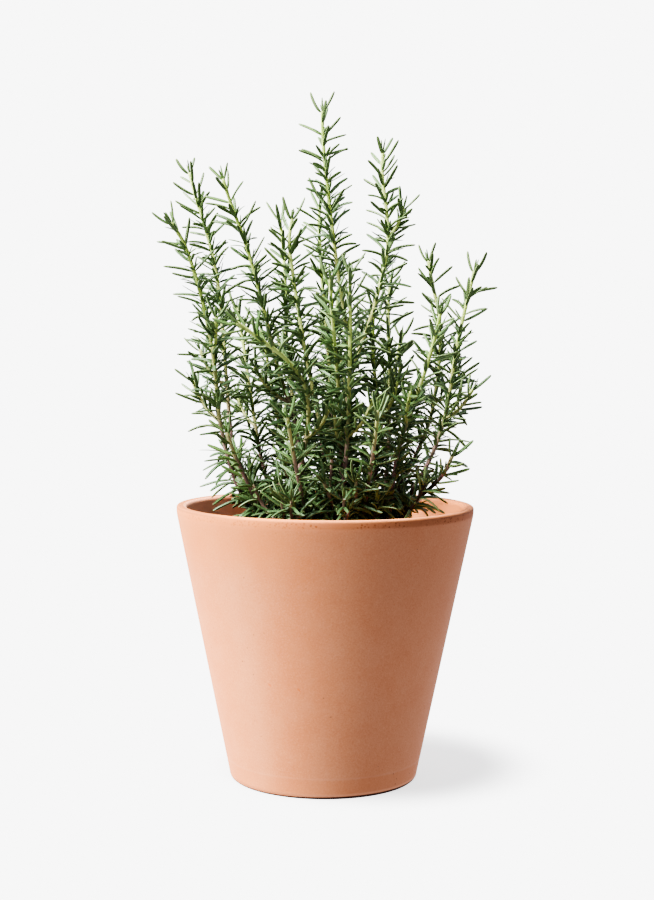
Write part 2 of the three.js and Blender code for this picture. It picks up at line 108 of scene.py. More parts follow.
# Name, radius at the foot, bare length, the points that it grows through, and its twigs as
# (mm along the stem, degrees round it, length).
STEMS = (
    ("stem_left_front", 2.1, 18, ((-57, -14, 210), (-72, -22, 244), (-83, -27, 286), (-89, -34, 344),
     (-101, -42, 400), (-117, -49, 442), (-124, -52, 450)), ((85, 150, 40), (140, 300, 34))),
    ("stem_left_back", 2.1, 30, ((-54, 16, 210), (-73, 17, 252), (-81, 20, 313), (-88, 26, 391),
     (-96, 30, 431), (-108, 34, 470), (-116, 38, 499)), ((110, 190, 38),)),
    ("stem_left_middle", 2.2, 22, ((-17, 0, 210), (-23, -2, 281), (-37, -5, 326), (-50, -9, 378),
     (-64, -12, 428), (-77, -15, 463), (-85, -18, 488)), ((95, 210, 42),)),
    ("stem_front_slanting", 2.6, 12, ((-31, -36, 210), (-22, -38, 248), (-14, -47, 284), (-17, -59, 321),
     (-36, -69, 344), (-65, -81, 364), (-74, -86, 371)), ((70, 330, 34),)),
    ("stem_back_left_short", 1.8, 24, ((-42, 34, 210), (-55, 38, 263), (-64, 50, 313), (-73, 65, 366),
     (-78, 72, 389)), ((75, 130, 38),)),
    ("stem_middle_left", 2.1, 20, ((-7, -11, 210), (-2, -10, 248), (-5, -11, 285), (-16, -12, 341),
     (-27, -14, 406), (-30, -15, 431), (-27, -16, 458)), ((100, 150, 40),)),
    ("stem_back_left_tall", 1.9, 40, ((-19, 30, 210), (-25, 37, 279), (-33, 51, 350), (-35, 63, 401),
     (-39, 76, 447), (-42, 81, 464)), ((120, 110, 38),)),
    ("stem_tallest", 2.3, 36, ((22, 11, 210), (20, 11, 290), (17, 12, 359), (11, 13, 395), (2, 15, 461),
     (-4, 17, 515), (-5, 18, 547)), ((120, 30, 42),)),
    ("stem_back_middle", 1.9, 44, ((6, 42, 210), (4, 45, 305), (1, 48, 350), (-4, 54, 404), (-7, 59, 459),
     (-5, 62, 481)), ((130, 70, 38),)),
    ("stem_front_middle", 1.9, 12, ((12, -30, 210), (12, -38, 276), (9, -49, 323), (4, -64, 377),
     (2, -74, 408)), ((60, 230, 36),)),
    ("stem_front_centre", 2.1, 12, ((10, -50, 210), (16, -53, 266), (18, -59, 329), (18, -65, 381),
     (17, -70, 413)), ((70, 340, 36),)),
    ("stem_right_tall", 2.2, 22, ((23, -14, 210), (17, -13, 275), (19, -9, 327), (32, -6, 361), (46, -1, 414),
     (49, 2, 441), (44, 6, 483), (44, 9, 513)), ((105, 100, 36), (232, 330, 26))),
    ("stem_back_right", 1.9, 34, ((49, 38, 210), (53, 43, 286), (53, 55, 343), (52, 66, 387), (56, 75, 416)),
     ((95, 60, 36),)),
    ("stem_right_middle", 1.8, 28, ((35, 17, 210), (43, 17, 269), (42, 18, 302), (38, 21, 346),
     (39, 25, 391)), ((80, 330, 36),)),
    ("stem_right_back", 1.9, 30, ((54, 22, 210), (68, 29, 247), (84, 33, 281), (93, 39, 330), (94, 45, 370),
     (88, 50, 403), (83, 55, 429)), ((100, 20, 34),)),
    ("stem_right_front", 2.0, 16, ((50, -31, 210), (57, -37, 268), (68, -42, 304), (80, -49, 341),
     (89, -58, 383)), ((80, 250, 34),)),
    ("stem_right_outer", 2.0, 30, ((57, 1, 210), (71, 0, 235), (88, 2, 266), (98, 4, 302), (105, 6, 347),
     (116, 9, 398), (121, 10, 419)), ((90, 330, 34),)),
    ("stem_right_low", 1.7, 14, ((52, -20, 210), (70, -27, 227), (84, -33, 237), (95, -43, 256),
     (102, -51, 272)), ()),
    ("stem_rear_left", 1.8, 20, ((-29, 47, 210), (-38, 62, 271), (-49, 80, 329), (-59, 94, 378)),
     ((70, 60, 34),)),
    ("stem_rear_middle", 1.8, 20, ((-4, 56, 210), (0, 72, 280), (6, 90, 348), (10, 101, 402)),
     ((75, 150, 34),)),
    ("stem_rear_right", 1.8, 20, ((31, 47, 210), (43, 64, 265), (57, 84, 318), (66, 96, 367)),
     ((65, 40, 34),)),
    ("stem_left_low", 1.6, 10, ((-47, -30, 210), (-60, -42, 241), (-71, -52, 266), (-79, -58, 290)), ()),
    ("stem_front_low", 1.6, 10, ((-12, -47, 210), (-20, -62, 244), (-26, -78, 277), (-30, -90, 303)), ()),
    ("stem_front_low_right", 1.6, 10, ((29, -44, 210), (34, -60, 249), (38, -75, 283), (40, -86, 309)), ()),
)


# ---- Numbers ----
def mix(a, b, share):
    return a + (b - a) * share


def rise(value, full):
    return min(1.0, value / full)


def clamp(value, low, high):
    return max(low, min(high, value))


def smooth(value, low, high):
    share = np.clip((value - low) / (high - low), 0, 1)
    return share * share * (3 - 2 * share)


def draw(*keys):
    """The same whole numbers always give the same draw between 0 and 1."""
    value = SEED
    for key in keys:
        value = ((value ^ (key + 1)) * 0x9E3779B1) & 0xFFFFFFFF
        value ^= value >> 15
        value = (value * 0x85EBCA6B) & 0xFFFFFFFF
        value ^= value >> 13
    return value / 4294967296


def spread(amount, *keys):
    return amount * (2 * draw(*keys) - 1)


def outer_radius(z):
    """The pot's wall outside, at a height."""
    return mix(POT_WALL_FOOT_RADIUS, POT_RIM_RADIUS, z / POT_RIM_WIDEST_Z)


def inner_radius(z):
    return outer_radius(z) - POT_WALL


# ---- Shoots: a stem or a twig is a line of straight lengths with a frame carried along it ----
def catmull(points, t):
    """The centripetal curve through points, at t from 0 to 1."""
    place = (len(points) - 1) * t
    i = min(int(place), len(points) - 2)
    share = place - i
    p1, p2 = points[i], points[i + 1]
    p0 = points[i - 1] if i > 0 else tuple(2 * a - b for a, b in zip(p1, p2))
    p3 = points[i + 2] if i + 2 < len(points) else tuple(2 * b - a for a, b in zip(p1, p2))
    d0, d1, d2 = (sum((a - b) ** 2 for a, b in zip(m, n)) ** 0.25 for m, n in ((p0, p1), (p1, p2), (p2, p3)))
    result = []
    for a, b, c, d in zip(p0, p1, p2, p3):
        t1 = ((b - a) / d0 - (c - a) / (d0 + d1) + (c - b) / d1) * d1
        t2 = ((c - b) / d1 - (d - b) / (d1 + d2) + (d - c) / d2) * d1
        result.append(b + t1 * share + (-3 * b + 3 * c - 2 * t1 - t2) * share ** 2
                      + (2 * b - 2 * c + t1 + t2) * share ** 3)
    return tuple(result)


def spaced_points(path):
    """Points about STEM_STEP apart on the curve through path."""
    fine = [catmull(path, k / 200) for k in range(201)]
    lengths = [0.0]
    for a, b in zip(fine, fine[1:]):
        lengths.append(lengths[-1] + math.dist(a, b))
    count = math.floor(lengths[-1] / STEM_STEP + 0.5)
    result = []
    for k in range(count + 1):
        target = k / count * lengths[-1]
        i = clamp(bisect.bisect_right(lengths, target) - 1, 0, 199)
        share = (target - lengths[i]) / (lengths[i + 1] - lengths[i])
        result.append(Vector(catmull(path, min(1.0, (i + share) / 200))))
    return result


class Shoot:
    """A stem or twig. Distances start where it leaves the soil, or its parent's middle."""

    def __init__(self, points, start, radii, keys, bare=0.0, attached=0.0):
        self.points, self.radii, self.keys, self.bare, self.attached = points, radii, keys, bare, attached
        self.at = [start]
        for a, b in zip(points, points[1:]):
            self.at.append(self.at[-1] + (b - a).length)
        self.length = self.at[-1]
        self.tangents, self.rights = [], []
        right = Vector((1, 0, 0))
        for i in range(len(points)):
            tangent = (points[min(len(points) - 1, i + 1)] - points[max(0, i - 1)]).normalized()
            right = (right - tangent * right.dot(tangent)).normalized()
            self.tangents.append(tangent)
            self.rights.append(right)
        # How far round it, in degrees, its uppermost pair of needles stands.
        self.first_turn = spread(NEEDLE_FIRST_TURN, *keys, 900)
        self.needles, self.axils, self.small = [], [], []

    def place(self, distance):
        i = 0
        while i < len(self.at) - 2 and self.at[i + 1] < distance:
            i += 1
        return i, (distance - self.at[i]) / (self.at[i + 1] - self.at[i])

    def frame(self, distance):
        """(point, tangent, right, back, radius) at a distance along the straight lengths."""
        i, share = self.place(distance)
        tangent = self.tangents[i].lerp(self.tangents[i + 1], share).normalized()
        right = self.rights[i].lerp(self.rights[i + 1], share)
        right = (right - tangent * right.dot(tangent)).normalized()
        radius = mix(*self.radii, max(0.0, distance) / self.length)
        return self.points[i].lerp(self.points[i + 1], share), tangent, right, tangent.cross(right), radius

    def middle(self, distance):
        """The same place on the smooth line through the ends of the lengths."""
        i, share = self.place(distance)
        p1, p2 = self.points[i], self.points[i + 1]
        p0 = self.points[i - 1] if i > 0 else 2 * p1 - p2
        p3 = self.points[i + 2] if i + 2 < len(self.points) else 2 * p2 - p1
        slope1, slope2 = (p2 - p0) * 0.5, (p3 - p1) * 0.5
        s2, s3 = share * share, share ** 3
        return (p1 * (2 * s3 - 3 * s2 + 1) + slope1 * (s3 - 2 * s2 + share)
                + p2 * (3 * s2 - 2 * s3) + slope2 * (s3 - s2))

    def rods(self):
        return [Rod(a, b, self.frame(at)[4], *self.keys, 0)
                for a, b, at in zip(self.points, self.points[1:], self.at)]


def outward(right, back, angle):
    return right * math.cos(angle) + back * math.sin(angle)


def leaning(tangent, out, lean):
    return tangent * math.cos(lean) + out * math.sin(lean)


def grow_stem(number, radius, bare, path):
    points = spaced_points(path)
    points[0] = points[0] + (points[0] - points[1]).normalized() * STEM_BURIED
    points[-1] = points[-1] + (points[-2] - points[-1]).normalized() * STEM_TIP_BACK
    return Shoot(points, -STEM_BURIED, (radius, STEM_TIP_RADIUS), (number, 0), bare)


def grow_twig(parent, twig, turn, number):
    distance, angle, length = twig
    point, tangent, right, back, _ = parent.frame(distance)
    out = outward(right, back, radians(angle + turn))
    points = [point]
    for share, lean in TWIG_BENDS:
        points.append(points[-1] + leaning(tangent, out, radians(lean)) * share * length)
    return Shoot(points, 0.0, (TWIG_RADIUS, TWIG_TIP_RADIUS), (parent.keys[0], number), TWIG_BARE, distance)


# ---- Clearance: rods stand for stems, twigs and needles, filed by the cells that they cross ----
cells = {}


class Rod:
    def __init__(self, a, b, radius, stem, shoot, spot):
        self.a, self.b, self.radius = a, b, radius
        self.stem, self.shoot, self.spot = stem, shoot, spot
        reach = radius + NEEDLE_REACH + PLAY
        spans = [range(math.floor((min(p, q) - reach) / CELL), math.floor((max(p, q) + reach) / CELL) + 1)
                 for p, q in zip(a, b)]
        self.cells = list(itertools.product(*spans))

    def springs_with(self, other):
        return self.stem == other.stem and (
            self.spot == other.spot or self.spot == other.shoot or self.shoot == other.spot)


def file_rods(rods):
    for rod in rods:
        for key in rod.cells:
            cells.setdefault(key, []).append(rod)


def are_clear(rods, margin):
    return not any(rod_distance(rod, other) < rod.radius + other.radius + margin
                   for rod in rods for key in rod.cells for other in cells.get(key, ())
                   if not rod.springs_with(other))


def rod_distance(one, two):
    """The shortest distance between the middle lines of two rods."""
    u, v, w = one.b - one.a, two.b - two.a, one.a - two.a
    uu, vv, uv, vw, uw = u.dot(u), v.dot(v), u.dot(v), v.dot(w), u.dot(w)
    slant = uu * vv - uv * uv
    s = clamp((uv * vw - vv * uw) / slant, 0, 1) if slant > 1e-9 else 0.0
    t = clamp((uv * s + vw) / vv, 0, 1)
    s = clamp((uv * t - uw) / uu, 0, 1)
    return (w + u * s - v * t).length


def is_above_pot(point):
    radius = math.hypot(point.x, point.y)
    level = SOIL_LEVEL
    if radius < ROOT_BALL_FOOT_RADIUS + NEEDLE_REACH:
        level = ROOT_BALL_TOP
    elif radius > POT_LIP_INNER_FLAT - SOIL_CLEAR:
        level = POT_HEIGHT
    return point.z > level + SOIL_CLEAR


def is_over_soil(point):
    """Looser than is_above_pot: a leaf may hang inside the lip and all but touch the soil."""
    radius = math.hypot(point.x, point.y)
    if point.z < POT_HEIGHT + 1 and radius > inner_radius(point.z) - 1.5:
        return False
    return point.z > (ROOT_BALL_TOP + 1.5 if radius < ROOT_BALL_FOOT_RADIUS + 1 else SOIL_LEVEL + 2)


# ---- Needles ----
# The room that a needle needs, as (radius of its rods, clearance, where its points may be).
SOLID_ROOM = (NEEDLE_REACH, PLAY, is_above_pot)
EXTRA_ROOM = (0.6, -0.35, is_above_pot)
HANGING_ROOM = (0.6, -0.35, is_over_soil)


class Needle:
    """A needle's middle line and where it sits: below is its distance from its shoot's tip.

    In radians, angle goes round the shoot and lean away from it, and bow adds to the lean.
    """

    def __init__(self, shoot, distance, angle, lean, bow, length):
        point, tangent, right, back, radius = shoot.frame(distance)
        out = outward(right, back, angle)
        first = leaning(tangent, out, lean)
        self.foot = point + first * radius * 0.5
        self.middle = point + first * (radius + length * NEEDLE_WIDEST_AT)
        self.tip = self.middle + leaning(tangent, out, lean + bow) * length * (1 - NEEDLE_WIDEST_AT)
        self.side = tangent.cross(out)
        self.width = YOUNG_NEEDLE_WIDTH if length < YOUNG_NEEDLE_LENGTH else NEEDLE_WIDTH
        self.length = length
        self.below = shoot.length - distance
        self.shift = shoot.middle(distance) - point


def place_needle(shoot, spot, distance, angle, length, lean, bow, room=EXTRA_ROOM):
    """A needle whose place is taken is turned, raised or shortened a little until it is clear.

    Those with the same spot on their shoot may cross at their feet.
    """
    reach, margin, is_free = room
    tags = (*shoot.keys, 1000 * (shoot.keys[1] + 1) + spot)
    for turn, raised, scale in NEEDLE_TRIES:
        steeper = max(NEEDLE_LEAST_LEAN, lean - radians(raised))
        needle = Needle(shoot, distance, angle + radians(turn), steeper, bow, length * scale)
        root = needle.foot.lerp(needle.middle, 0.4)
        rods = [Rod(root, needle.middle, reach, *tags), Rod(needle.middle, needle.tip, reach, *tags)]
        if is_free(needle.middle) and is_free(needle.tip) and are_clear(rods, margin):
            file_rods(rods)
            return [needle]
    return []


def grow_needles(shoot):
    """Opposite pairs, each a quarter turn on from the last."""
    below, pair = 1.0, 0
    while below < shoot.length - shoot.bare:
        long = rise(below, NEEDLE_LONG_BELOW_TIP)
        grown = rise(below, NEEDLE_GROWN_BELOW_TIP)
        old = rise(below, NEEDLE_OLD_BELOW_TIP)
        young = mix(NEEDLE_LENGTH_AT_TIP, NEEDLE_LENGTH_GROWN, long)
        distance = shoot.length - below
        for half in (0, 1):
            keys = (*shoot.keys, pair, half)
            angle = radians(shoot.first_turn + NEEDLE_TURN * pair + 180 * half + spread(20, *keys, 1))
            length = mix(young, NEEDLE_LENGTH_OLD, old) * (1 + spread(0.19, *keys, 2))
            lean = radians(mix(30, 44, long) + 28 * old + spread(mix(7, 15, grown), *keys, 3))
            bow = radians(mix(-8, 4, grown) + 18 * old + spread(13, *keys, 4))
            shoot.needles += place_needle(shoot, pair, distance, angle, length, lean, bow, SOLID_ROOM)
            shoot.axils.append((distance, angle, lean, below, keys))
        below += mix(NEEDLE_GAP_AT_TIP, NEEDLE_GAP_GROWN, rise(below, NEEDLE_GAP_GROWN_BELOW_TIP))
        pair += 1


class Plant:
    def __init__(self, number, stem):
        self.name, radius, bare, path, self.twigs = stem
        self.shoots = [grow_stem(number, radius, bare, path)]


plants = [Plant(number, stem) for number, stem in enumerate(STEMS)]
for plant in plants:
    file_rods(plant.shoots[0].rods())
for plant in plants:
    for twig in plant.twigs:
        for turn in TWIG_TURNS:
            shoot = grow_twig(plant.shoots[0], twig, turn, len(plant.shoots))
            if are_clear(shoot.rods(), TWIG_CLEAR):
                file_rods(shoot.rods())
                plant.shoots.append(shoot)
                break
shoots = [shoot for plant in plants for shoot in plant.shoots]
for shoot in shoots:
    grow_needles(shoot)


# ---- Leaves that the solids leave out ----
# Long leaves that hang over the pot's mouth, as (mm along the stem, degrees round it, lean, bow, length).
HANGING_LEAVES = {
    "stem_left_front": ((18, 190, 78, 16, 25), (35, 180, 72, 16, 28), (53, 185, 86, 16, 21)),
    "stem_left_low": ((14, 215, 80, 22, 25),),
    "stem_right_outer": ((83, 350, 102, 20, 26), (102, 355, 112, 20, 22)),
    "stem_right_low": ((72, 20, 92, 16, 24),),
    "stem_front_low": ((27, 321, 112, 26, 29), (23, 206, 96, 20, 24)),
    "stem_front_low_right": ((20, 340, 92, 26, 26), (26, 210, 84, 24, 24)),
    "stem_front_slanting": ((20, 250, 84, 26, 26),),
    "stem_front_centre": ((22, 215, 96, 26, 27), (30, 320, 88, 24, 26)),
    "stem_right_front": ((22, 290, 88, 26, 25),),
}
HANGING_SPOT = 8000
FILL_SPOT = 500
FILL_FROM_BELOW = 11.0
FILL_ALL_BELOW = 35.0
FILL_ROUND_BY = (45, 225, 135)
TUFT_FROM_BELOW = 9.0
TUFT_LEAF_AT_TIP = 9.0
TUFT_LEAF_GROWN = 16.0
TUFT_TURN = 52


def fill_pairs(shoot):
    """Grown leaves between those of the solids, an eighth of a turn on from them."""
    axils = []
    nodes = sorted({(below, keys[2]) for _, _, _, below, keys in shoot.axils})
    ends = [below for below, _ in nodes[1:]] + [nodes[-1][0] + NEEDLE_GAP_GROWN * 0.9]
    for (start, pair), end in zip(nodes, ends):
        for half, round_by in enumerate(FILL_ROUND_BY):
            keys = (*shoot.keys, pair, half, 70)
            if half == 2 and draw(*keys, 7) > mix(0.9, 0.25, smooth(start, 110, 180)) * rise(start, 65):
                continue
            below = mix(start, end, 0.5 + spread(0.3, *keys, 6))
            share = 1.0 if shoot.keys[1] else smooth(below, FILL_FROM_BELOW, FILL_ALL_BELOW)
            if below > shoot.length - 5 or draw(*keys, 1) > share:
                continue
            old = rise(below, NEEDLE_OLD_BELOW_TIP)
            angle = radians(shoot.first_turn + NEEDLE_TURN * pair + (round_by + spread(40, *keys, 2)))
            lean = radians(48 + 30 * old + spread(18, *keys, 3))
            length = mix(NEEDLE_LENGTH_GROWN * 0.9, NEEDLE_LENGTH_OLD, old) * (1 + spread(0.22, *keys, 4))
            bow = radians(6 + 22 * old + spread(20, *keys, 5))
            distance = shoot.length - below
            shoot.needles += place_needle(shoot, FILL_SPOT + pair, distance, angle, length, lean, bow)
            axils.append((distance, angle, lean, below, keys))
    return axils


def tufts(shoot, axils):
    """Young leaves that stand in the axils in pairs, the lower the more and the longer."""
    leaves = []
    for distance, angle, lean, below, keys in axils:
        share = mix(mix(0.3, 0.9, smooth(below, 25, 75)), 0.45, smooth(below, 110, 180))
        if below < TUFT_FROM_BELOW or draw(*keys, 11) > share:
            continue
        grown = rise(below, 120)
        for pair in range(1 + (draw(*keys, 12) < mix(0.05, 0.3, grown))):
            for half in (0, 1):
                more = (*keys, 20 + 2 * pair + half)
                if draw(*more, 5) > mix(0.72, 1.0, grown):
                    continue
                size = mix(TUFT_LEAF_AT_TIP, TUFT_LEAF_GROWN, grown) * (1 - 0.14 * pair) * (
                    1 + spread(0.32, *more, 1))
                turned = radians(TUFT_TURN * (2 * half - 1) * (0.6 if pair else 1.0) + spread(28, *more, 2))
                leans = lean * (mix(0.95, 0.76, grown) - 0.2 * pair) + radians(spread(17, *more, 3))
                found = place_needle(shoot, keys[2], distance + 1.0 + 0.8 * pair, angle + turned, size,
                                     leans, radians(10 + spread(20, *more, 4)))
                for needle in found:
                    needle.width = mix(1.5, 2.2, rise(needle.length, 14))
                leaves += found
    return leaves


def bud_leaves(shoot):
    """The closed young leaves at the very tip of a shoot."""
    leaves = []
    for pair in range(2):
        for half in (0, 1):
            keys = (*shoot.keys, pair, half, 40)
            angle = radians(shoot.first_turn + 90 * pair + 90 + 180 * half + spread(16, *keys, 1))
            lean, bow = radians(15 - 6 * pair + spread(6, *keys, 2)), radians(spread(8, *keys, 3))
            length = (10.0 - 4.5 * pair) * (1 + spread(0.25, *keys, 4))
            needle = Needle(shoot, shoot.length - 0.6 + 0.5 * pair, angle, lean, bow, length)
            needle.width = 1.5 - 0.3 * pair
            leaves.append(needle)
    return leaves


stems = {plant.name: plant.shoots[0] for plant in plants}
hanging = [(stems[name], leaf) for name, leaves in HANGING_LEAVES.items() for leaf in leaves]
for index, (shoot, (distance, angle, lean, bow, length)) in enumerate(hanging):
    shoot.needles += place_needle(shoot, HANGING_SPOT + index, distance, radians(angle), length,
                                  radians(lean), radians(bow), HANGING_ROOM)
filled = [fill_pairs(shoot) for shoot in shoots]
for shoot, axils in zip(shoots, filled):
    shoot.small = tufts(shoot, shoot.axils + axils) + bud_leaves(shoot)


# ---- Short sprouts that crowd the foot of the bush ----
SPROUTS = 52
SPROUT_KEY = 700
SPROUT_SPREAD = 58.0
SPROUT_SHORTEST = 16.0
SPROUT_LONGEST = 66.0
SPROUT_BURIED = 6.0
SPROUT_GAP = 6.2


def grow_sprout(index):
    """A short shoot that leans out from the root ball; there are more of them towards the front."""
    keys = (SPROUT_KEY, index)
    out_by = math.sqrt(draw(*keys, 1))
    turn = 2 * math.pi * draw(*keys, 2)
    x, y = SPROUT_SPREAD * out_by * math.cos(turn), SPROUT_SPREAD * out_by * math.sin(turn)
    if y > 0 and draw(*keys, 3) < 0.45:
        y = -y
    lean = radians(8 + 40 * out_by + spread(16, *keys, 4))
    way = math.atan2(y, x) + spread(1.0, *keys, 5)
    length = mix(SPROUT_SHORTEST, SPROUT_LONGEST, draw(*keys, 6) ** 1.3) * mix(1.0, 0.75, out_by)
    points = [Vector((x, y, ROOT_BALL_TOP - SPROUT_BURIED))]
    for share, buried in ((0.3, SPROUT_BURIED), (0.35, 0), (0.35, 0)):
        step = Vector((math.sin(lean) * math.cos(way), math.sin(lean) * math.sin(way), math.cos(lean)))
        points.append(points[-1] + step * (length * share + buried))
        lean *= 0.72
        way += spread(0.35, *keys, 7, len(points))
    return Shoot(points, -SPROUT_BURIED, (1.3, 0.9), (SPROUT_KEY + index, 0))


def grow_sprout_leaves(shoot, index):
    below, node = 1.0, 0
    while below < shoot.length - 1.5:
        for part in range(3):
            keys = (SPROUT_KEY + 1, index, node, part)
            if part == 2 and draw(*keys, 6) < 0.35:
                continue
            grown = rise(below, 26)
            turn = 45 + 90 * node + 180 * part + (90 if part == 2 else 0)
            angle = radians(turn + spread(34, *keys, 1))
            lean = radians(mix(38, 78, grown) + 14 * rise(below, 60) + spread(22, *keys, 2))
            length = mix(17, 24, grown) * (1 + spread(0.24, *keys, 3))
            bow = radians(mix(4, 26, grown) + spread(24, *keys, 4))
            shoot.needles += place_needle(shoot, node, shoot.length - below, angle, length, lean, bow,
                                          HANGING_ROOM)
        below += SPROUT_GAP * (1 + spread(0.2, SPROUT_KEY + 2, index, node))
        node += 1
    shoot.needles += bud_leaves(shoot)


sprouts = []
for index in range(SPROUTS):
    sprouts.append(grow_sprout(index))
    file_rods(sprouts[-1].rods())
    grow_sprout_leaves(sprouts[-1], index)


# ---- Meshes ----
class Mesh:
    """Points, faces and what each point carries, gathered part by part."""

    def __init__(self):
        self.points, self.faces, self.looks, self.carried, self.count = [], [], [], {}, 0

    def add(self, points, faces, look=0, **carried):
        """faces is a list of arrays, each of faces with one number of corners."""
        points = np.asarray(points, float).reshape(-1, 3)
        for group in faces:
            if len(group):
                self.faces.append(np.asarray(group) + self.count)
                self.looks.append(np.full(len(group), look))
        for name, values in carried.items():
            self.carried.setdefault(name, []).append(np.broadcast_to(np.asarray(values, float), points.shape))
        self.points.append(points)
        self.count += len(points)

    def build(self, name, materials):
        mesh = bpy.data.meshes.new(name)
        corners = np.concatenate([group.ravel() for group in self.faces])
        sizes = np.concatenate([np.full(len(group), group.shape[1]) for group in self.faces])
        mesh.vertices.add(self.count)
        mesh.vertices.foreach_set("co", (np.concatenate(self.points) * MM).astype(np.float32).ravel())
        mesh.loops.add(len(corners))
        mesh.loops.foreach_set("vertex_index", corners.astype(np.int32))
        mesh.polygons.add(len(sizes))
        mesh.polygons.foreach_set("loop_start", (np.cumsum(sizes) - sizes).astype(np.int32))
        mesh.update(calc_edges=True)
        mesh.polygons.foreach_set("material_index", np.concatenate(self.looks).astype(np.int32))
        mesh.polygons.foreach_set("use_smooth", np.full(len(sizes), True))
        for key, parts in self.carried.items():
            attribute = mesh.attributes.new(key, "FLOAT_VECTOR", "POINT")
            attribute.data.foreach_set("vector", np.concatenate(parts).astype(np.float32).ravel())
        mesh.validate()
        for material in materials:
            mesh.materials.append(material)
        piece = bpy.data.objects.new(name, mesh)
        bpy.context.scene.collection.objects.link(piece)
        return piece


def unit(vectors):
    return vectors / np.linalg.norm(vectors, axis=1)[:, None]


def round_angles(count):
    return np.arange(count) * 2 * math.pi / count


def level_ring(angles, radius, z):
    """Points of a level ring; z is one height or the height of each point."""
    return np.stack([radius * np.cos(angles), radius * np.sin(angles), np.broadcast_to(z, angles.shape)], -1)


def tube_faces(rings, sides, start_cap=True, end_point=True):
    """Quads between rings, a fan over the first ring, and one to a point after the last ring."""
    ring = np.arange(rings - 1)[:, None] * sides
    side = np.arange(sides)[None, :]
    after = (side + 1) % sides
    quads = np.stack([ring + side, ring + after, ring + sides + after, ring + sides + side], -1)
    fans = []
    if start_cap:
        fans += [(0, k + 1, k) for k in range(1, sides - 1)]
    if end_point:
        base = (rings - 1) * sides
        fans += [(base + k, base + (k + 1) % sides, rings * sides) for k in range(sides)]
    return [quads.reshape(-1, 4), np.array(fans, int).reshape(-1, 3)]


class LeafKind:
    """A leaf's section in half widths, anticlockwise as seen from its tip, and its widths along it.

    The section's third number is 1 below; key sets this kind's draws apart, and ageing slows its age.
    """

    def __init__(self, key, ageing, section, stations, widths):
        section, self.stations, self.widths = np.array(section), np.array(stations), np.array(widths)
        self.key, self.ageing = key, ageing
        self.x, self.y = section[None, :, :1], section[None, :, 1:2]
        self.faces = tube_faces(len(stations), len(section))
        self.place = np.stack([np.append(np.repeat(stations, len(section)), 1.0),
                               np.append(np.tile(section[:, 0], len(stations)), 0.0),
                               np.append(np.tile(section[:, 2], len(stations)), 0.5)], -1)


# The upper side with its groove, the rolled edge, then the pale underside with its midrib.
LEAF = LeafKind(
    60, 1.0,
    [(1.0, -0.1, 0), (0.74, 0.44, 0), (0.22, 0.36, 0), (0.0, 0.08, 0), (-0.22, 0.36, 0), (-0.74, 0.44, 0),
     (-1.0, -0.1, 0), (-0.86, -0.68, 1), (-0.46, -0.32, 1), (-0.16, -0.6, 1), (0.16, -0.6, 1),
     (0.46, -0.32, 1), (0.86, -0.68, 1)],
    [0.0, 0.07, 0.17, 0.32, 0.5, 0.68, 0.82, 0.92, 0.975],
    [0.36, 0.5, 0.8, 0.98, 1.0, 1.0, 0.95, 0.82, 0.56])
SMALL_LEAF = LeafKind(
    61, 0.75,
    [(1.0, 0.0, 0), (0.5, 0.24, 0), (0.0, 0.08, 0), (-0.5, 0.24, 0), (-1.0, 0.0, 0), (-0.5, -0.3, 1),
     (0.0, -0.2, 1), (0.5, -0.3, 1)],
    [0.0, 0.15, 0.4, 0.7, 0.92],
    [0.55, 0.85, 1.0, 0.96, 0.6])
LEAF_FULLER_YOUNG = 1.18
LEAF_FULLER_OLD = 1.0
LEAF_ROLL = 0.6
LEAF_TWIST = 0.5
LEAF_OLD_BELOW = 210


def add_leaves(mesh, kind, needles, lower, key):
    """Bends leaves along the smooth lines from their needles' feet through their middles to their tips.

    Each ages with its distance from the tip; lower is what its shoot's own place adds to that.
    """
    t = kind.stations[:, None]
    for index, needle in enumerate(needles):
        keys = (*key, index, kind.key)
        age = rise(needle.below + lower, LEAF_OLD_BELOW) * kind.ageing
        foot, middle, tip = (np.array(p + needle.shift) for p in (needle.foot, needle.middle, needle.tip))
        pull = 2 * middle - (foot + tip) / 2
        line = foot * (1 - t) ** 2 + pull * 2 * t * (1 - t) + tip * t ** 2
        way = unit((pull - foot) * (1 - t) + (tip - pull) * t)
        side = np.array(needle.side)[None, :]
        side = unit(side - way * np.sum(side * way, axis=1)[:, None])
        up = np.cross(way, side)
        turn = spread(LEAF_ROLL, *keys, 4) + spread(LEAF_TWIST, *keys, 3) * t
        side, up = side * np.cos(turn) + up * np.sin(turn), up * np.cos(turn) - side * np.sin(turn)
        half = (kind.widths * needle.width * mix(LEAF_FULLER_YOUNG, LEAF_FULLER_OLD, age) / 2)[:, None, None]
        rings = line[:, None, :] + half * (kind.x * side[:, None, :] + kind.y * up[:, None, :])
        mesh.add(np.vstack([rings.reshape(-1, 3), tip[None, :]]), kind.faces, 1,
                 place=kind.place, tone=(age, draw(*keys, 1), draw(*keys, 2)))


STEM_SIDES = 12
STEM_RING_STEP = 2.5
STEM_FULLER = 1.1
STEM_EVEN_RADIUS = 1.5
STEM_OLD_BELOW = 190
STEM_GREEN_ABOVE = 190.0
STEM_KEY = 50
STEM_SCAR_GAP = 8.5
# Painted shade: how far up from the soil these stems are painted almost black, for the shadow they stand in.
PAINTED_SHADE_FEET = {"stem_right_low": 60.0, "stem_right_outer": 34.0}


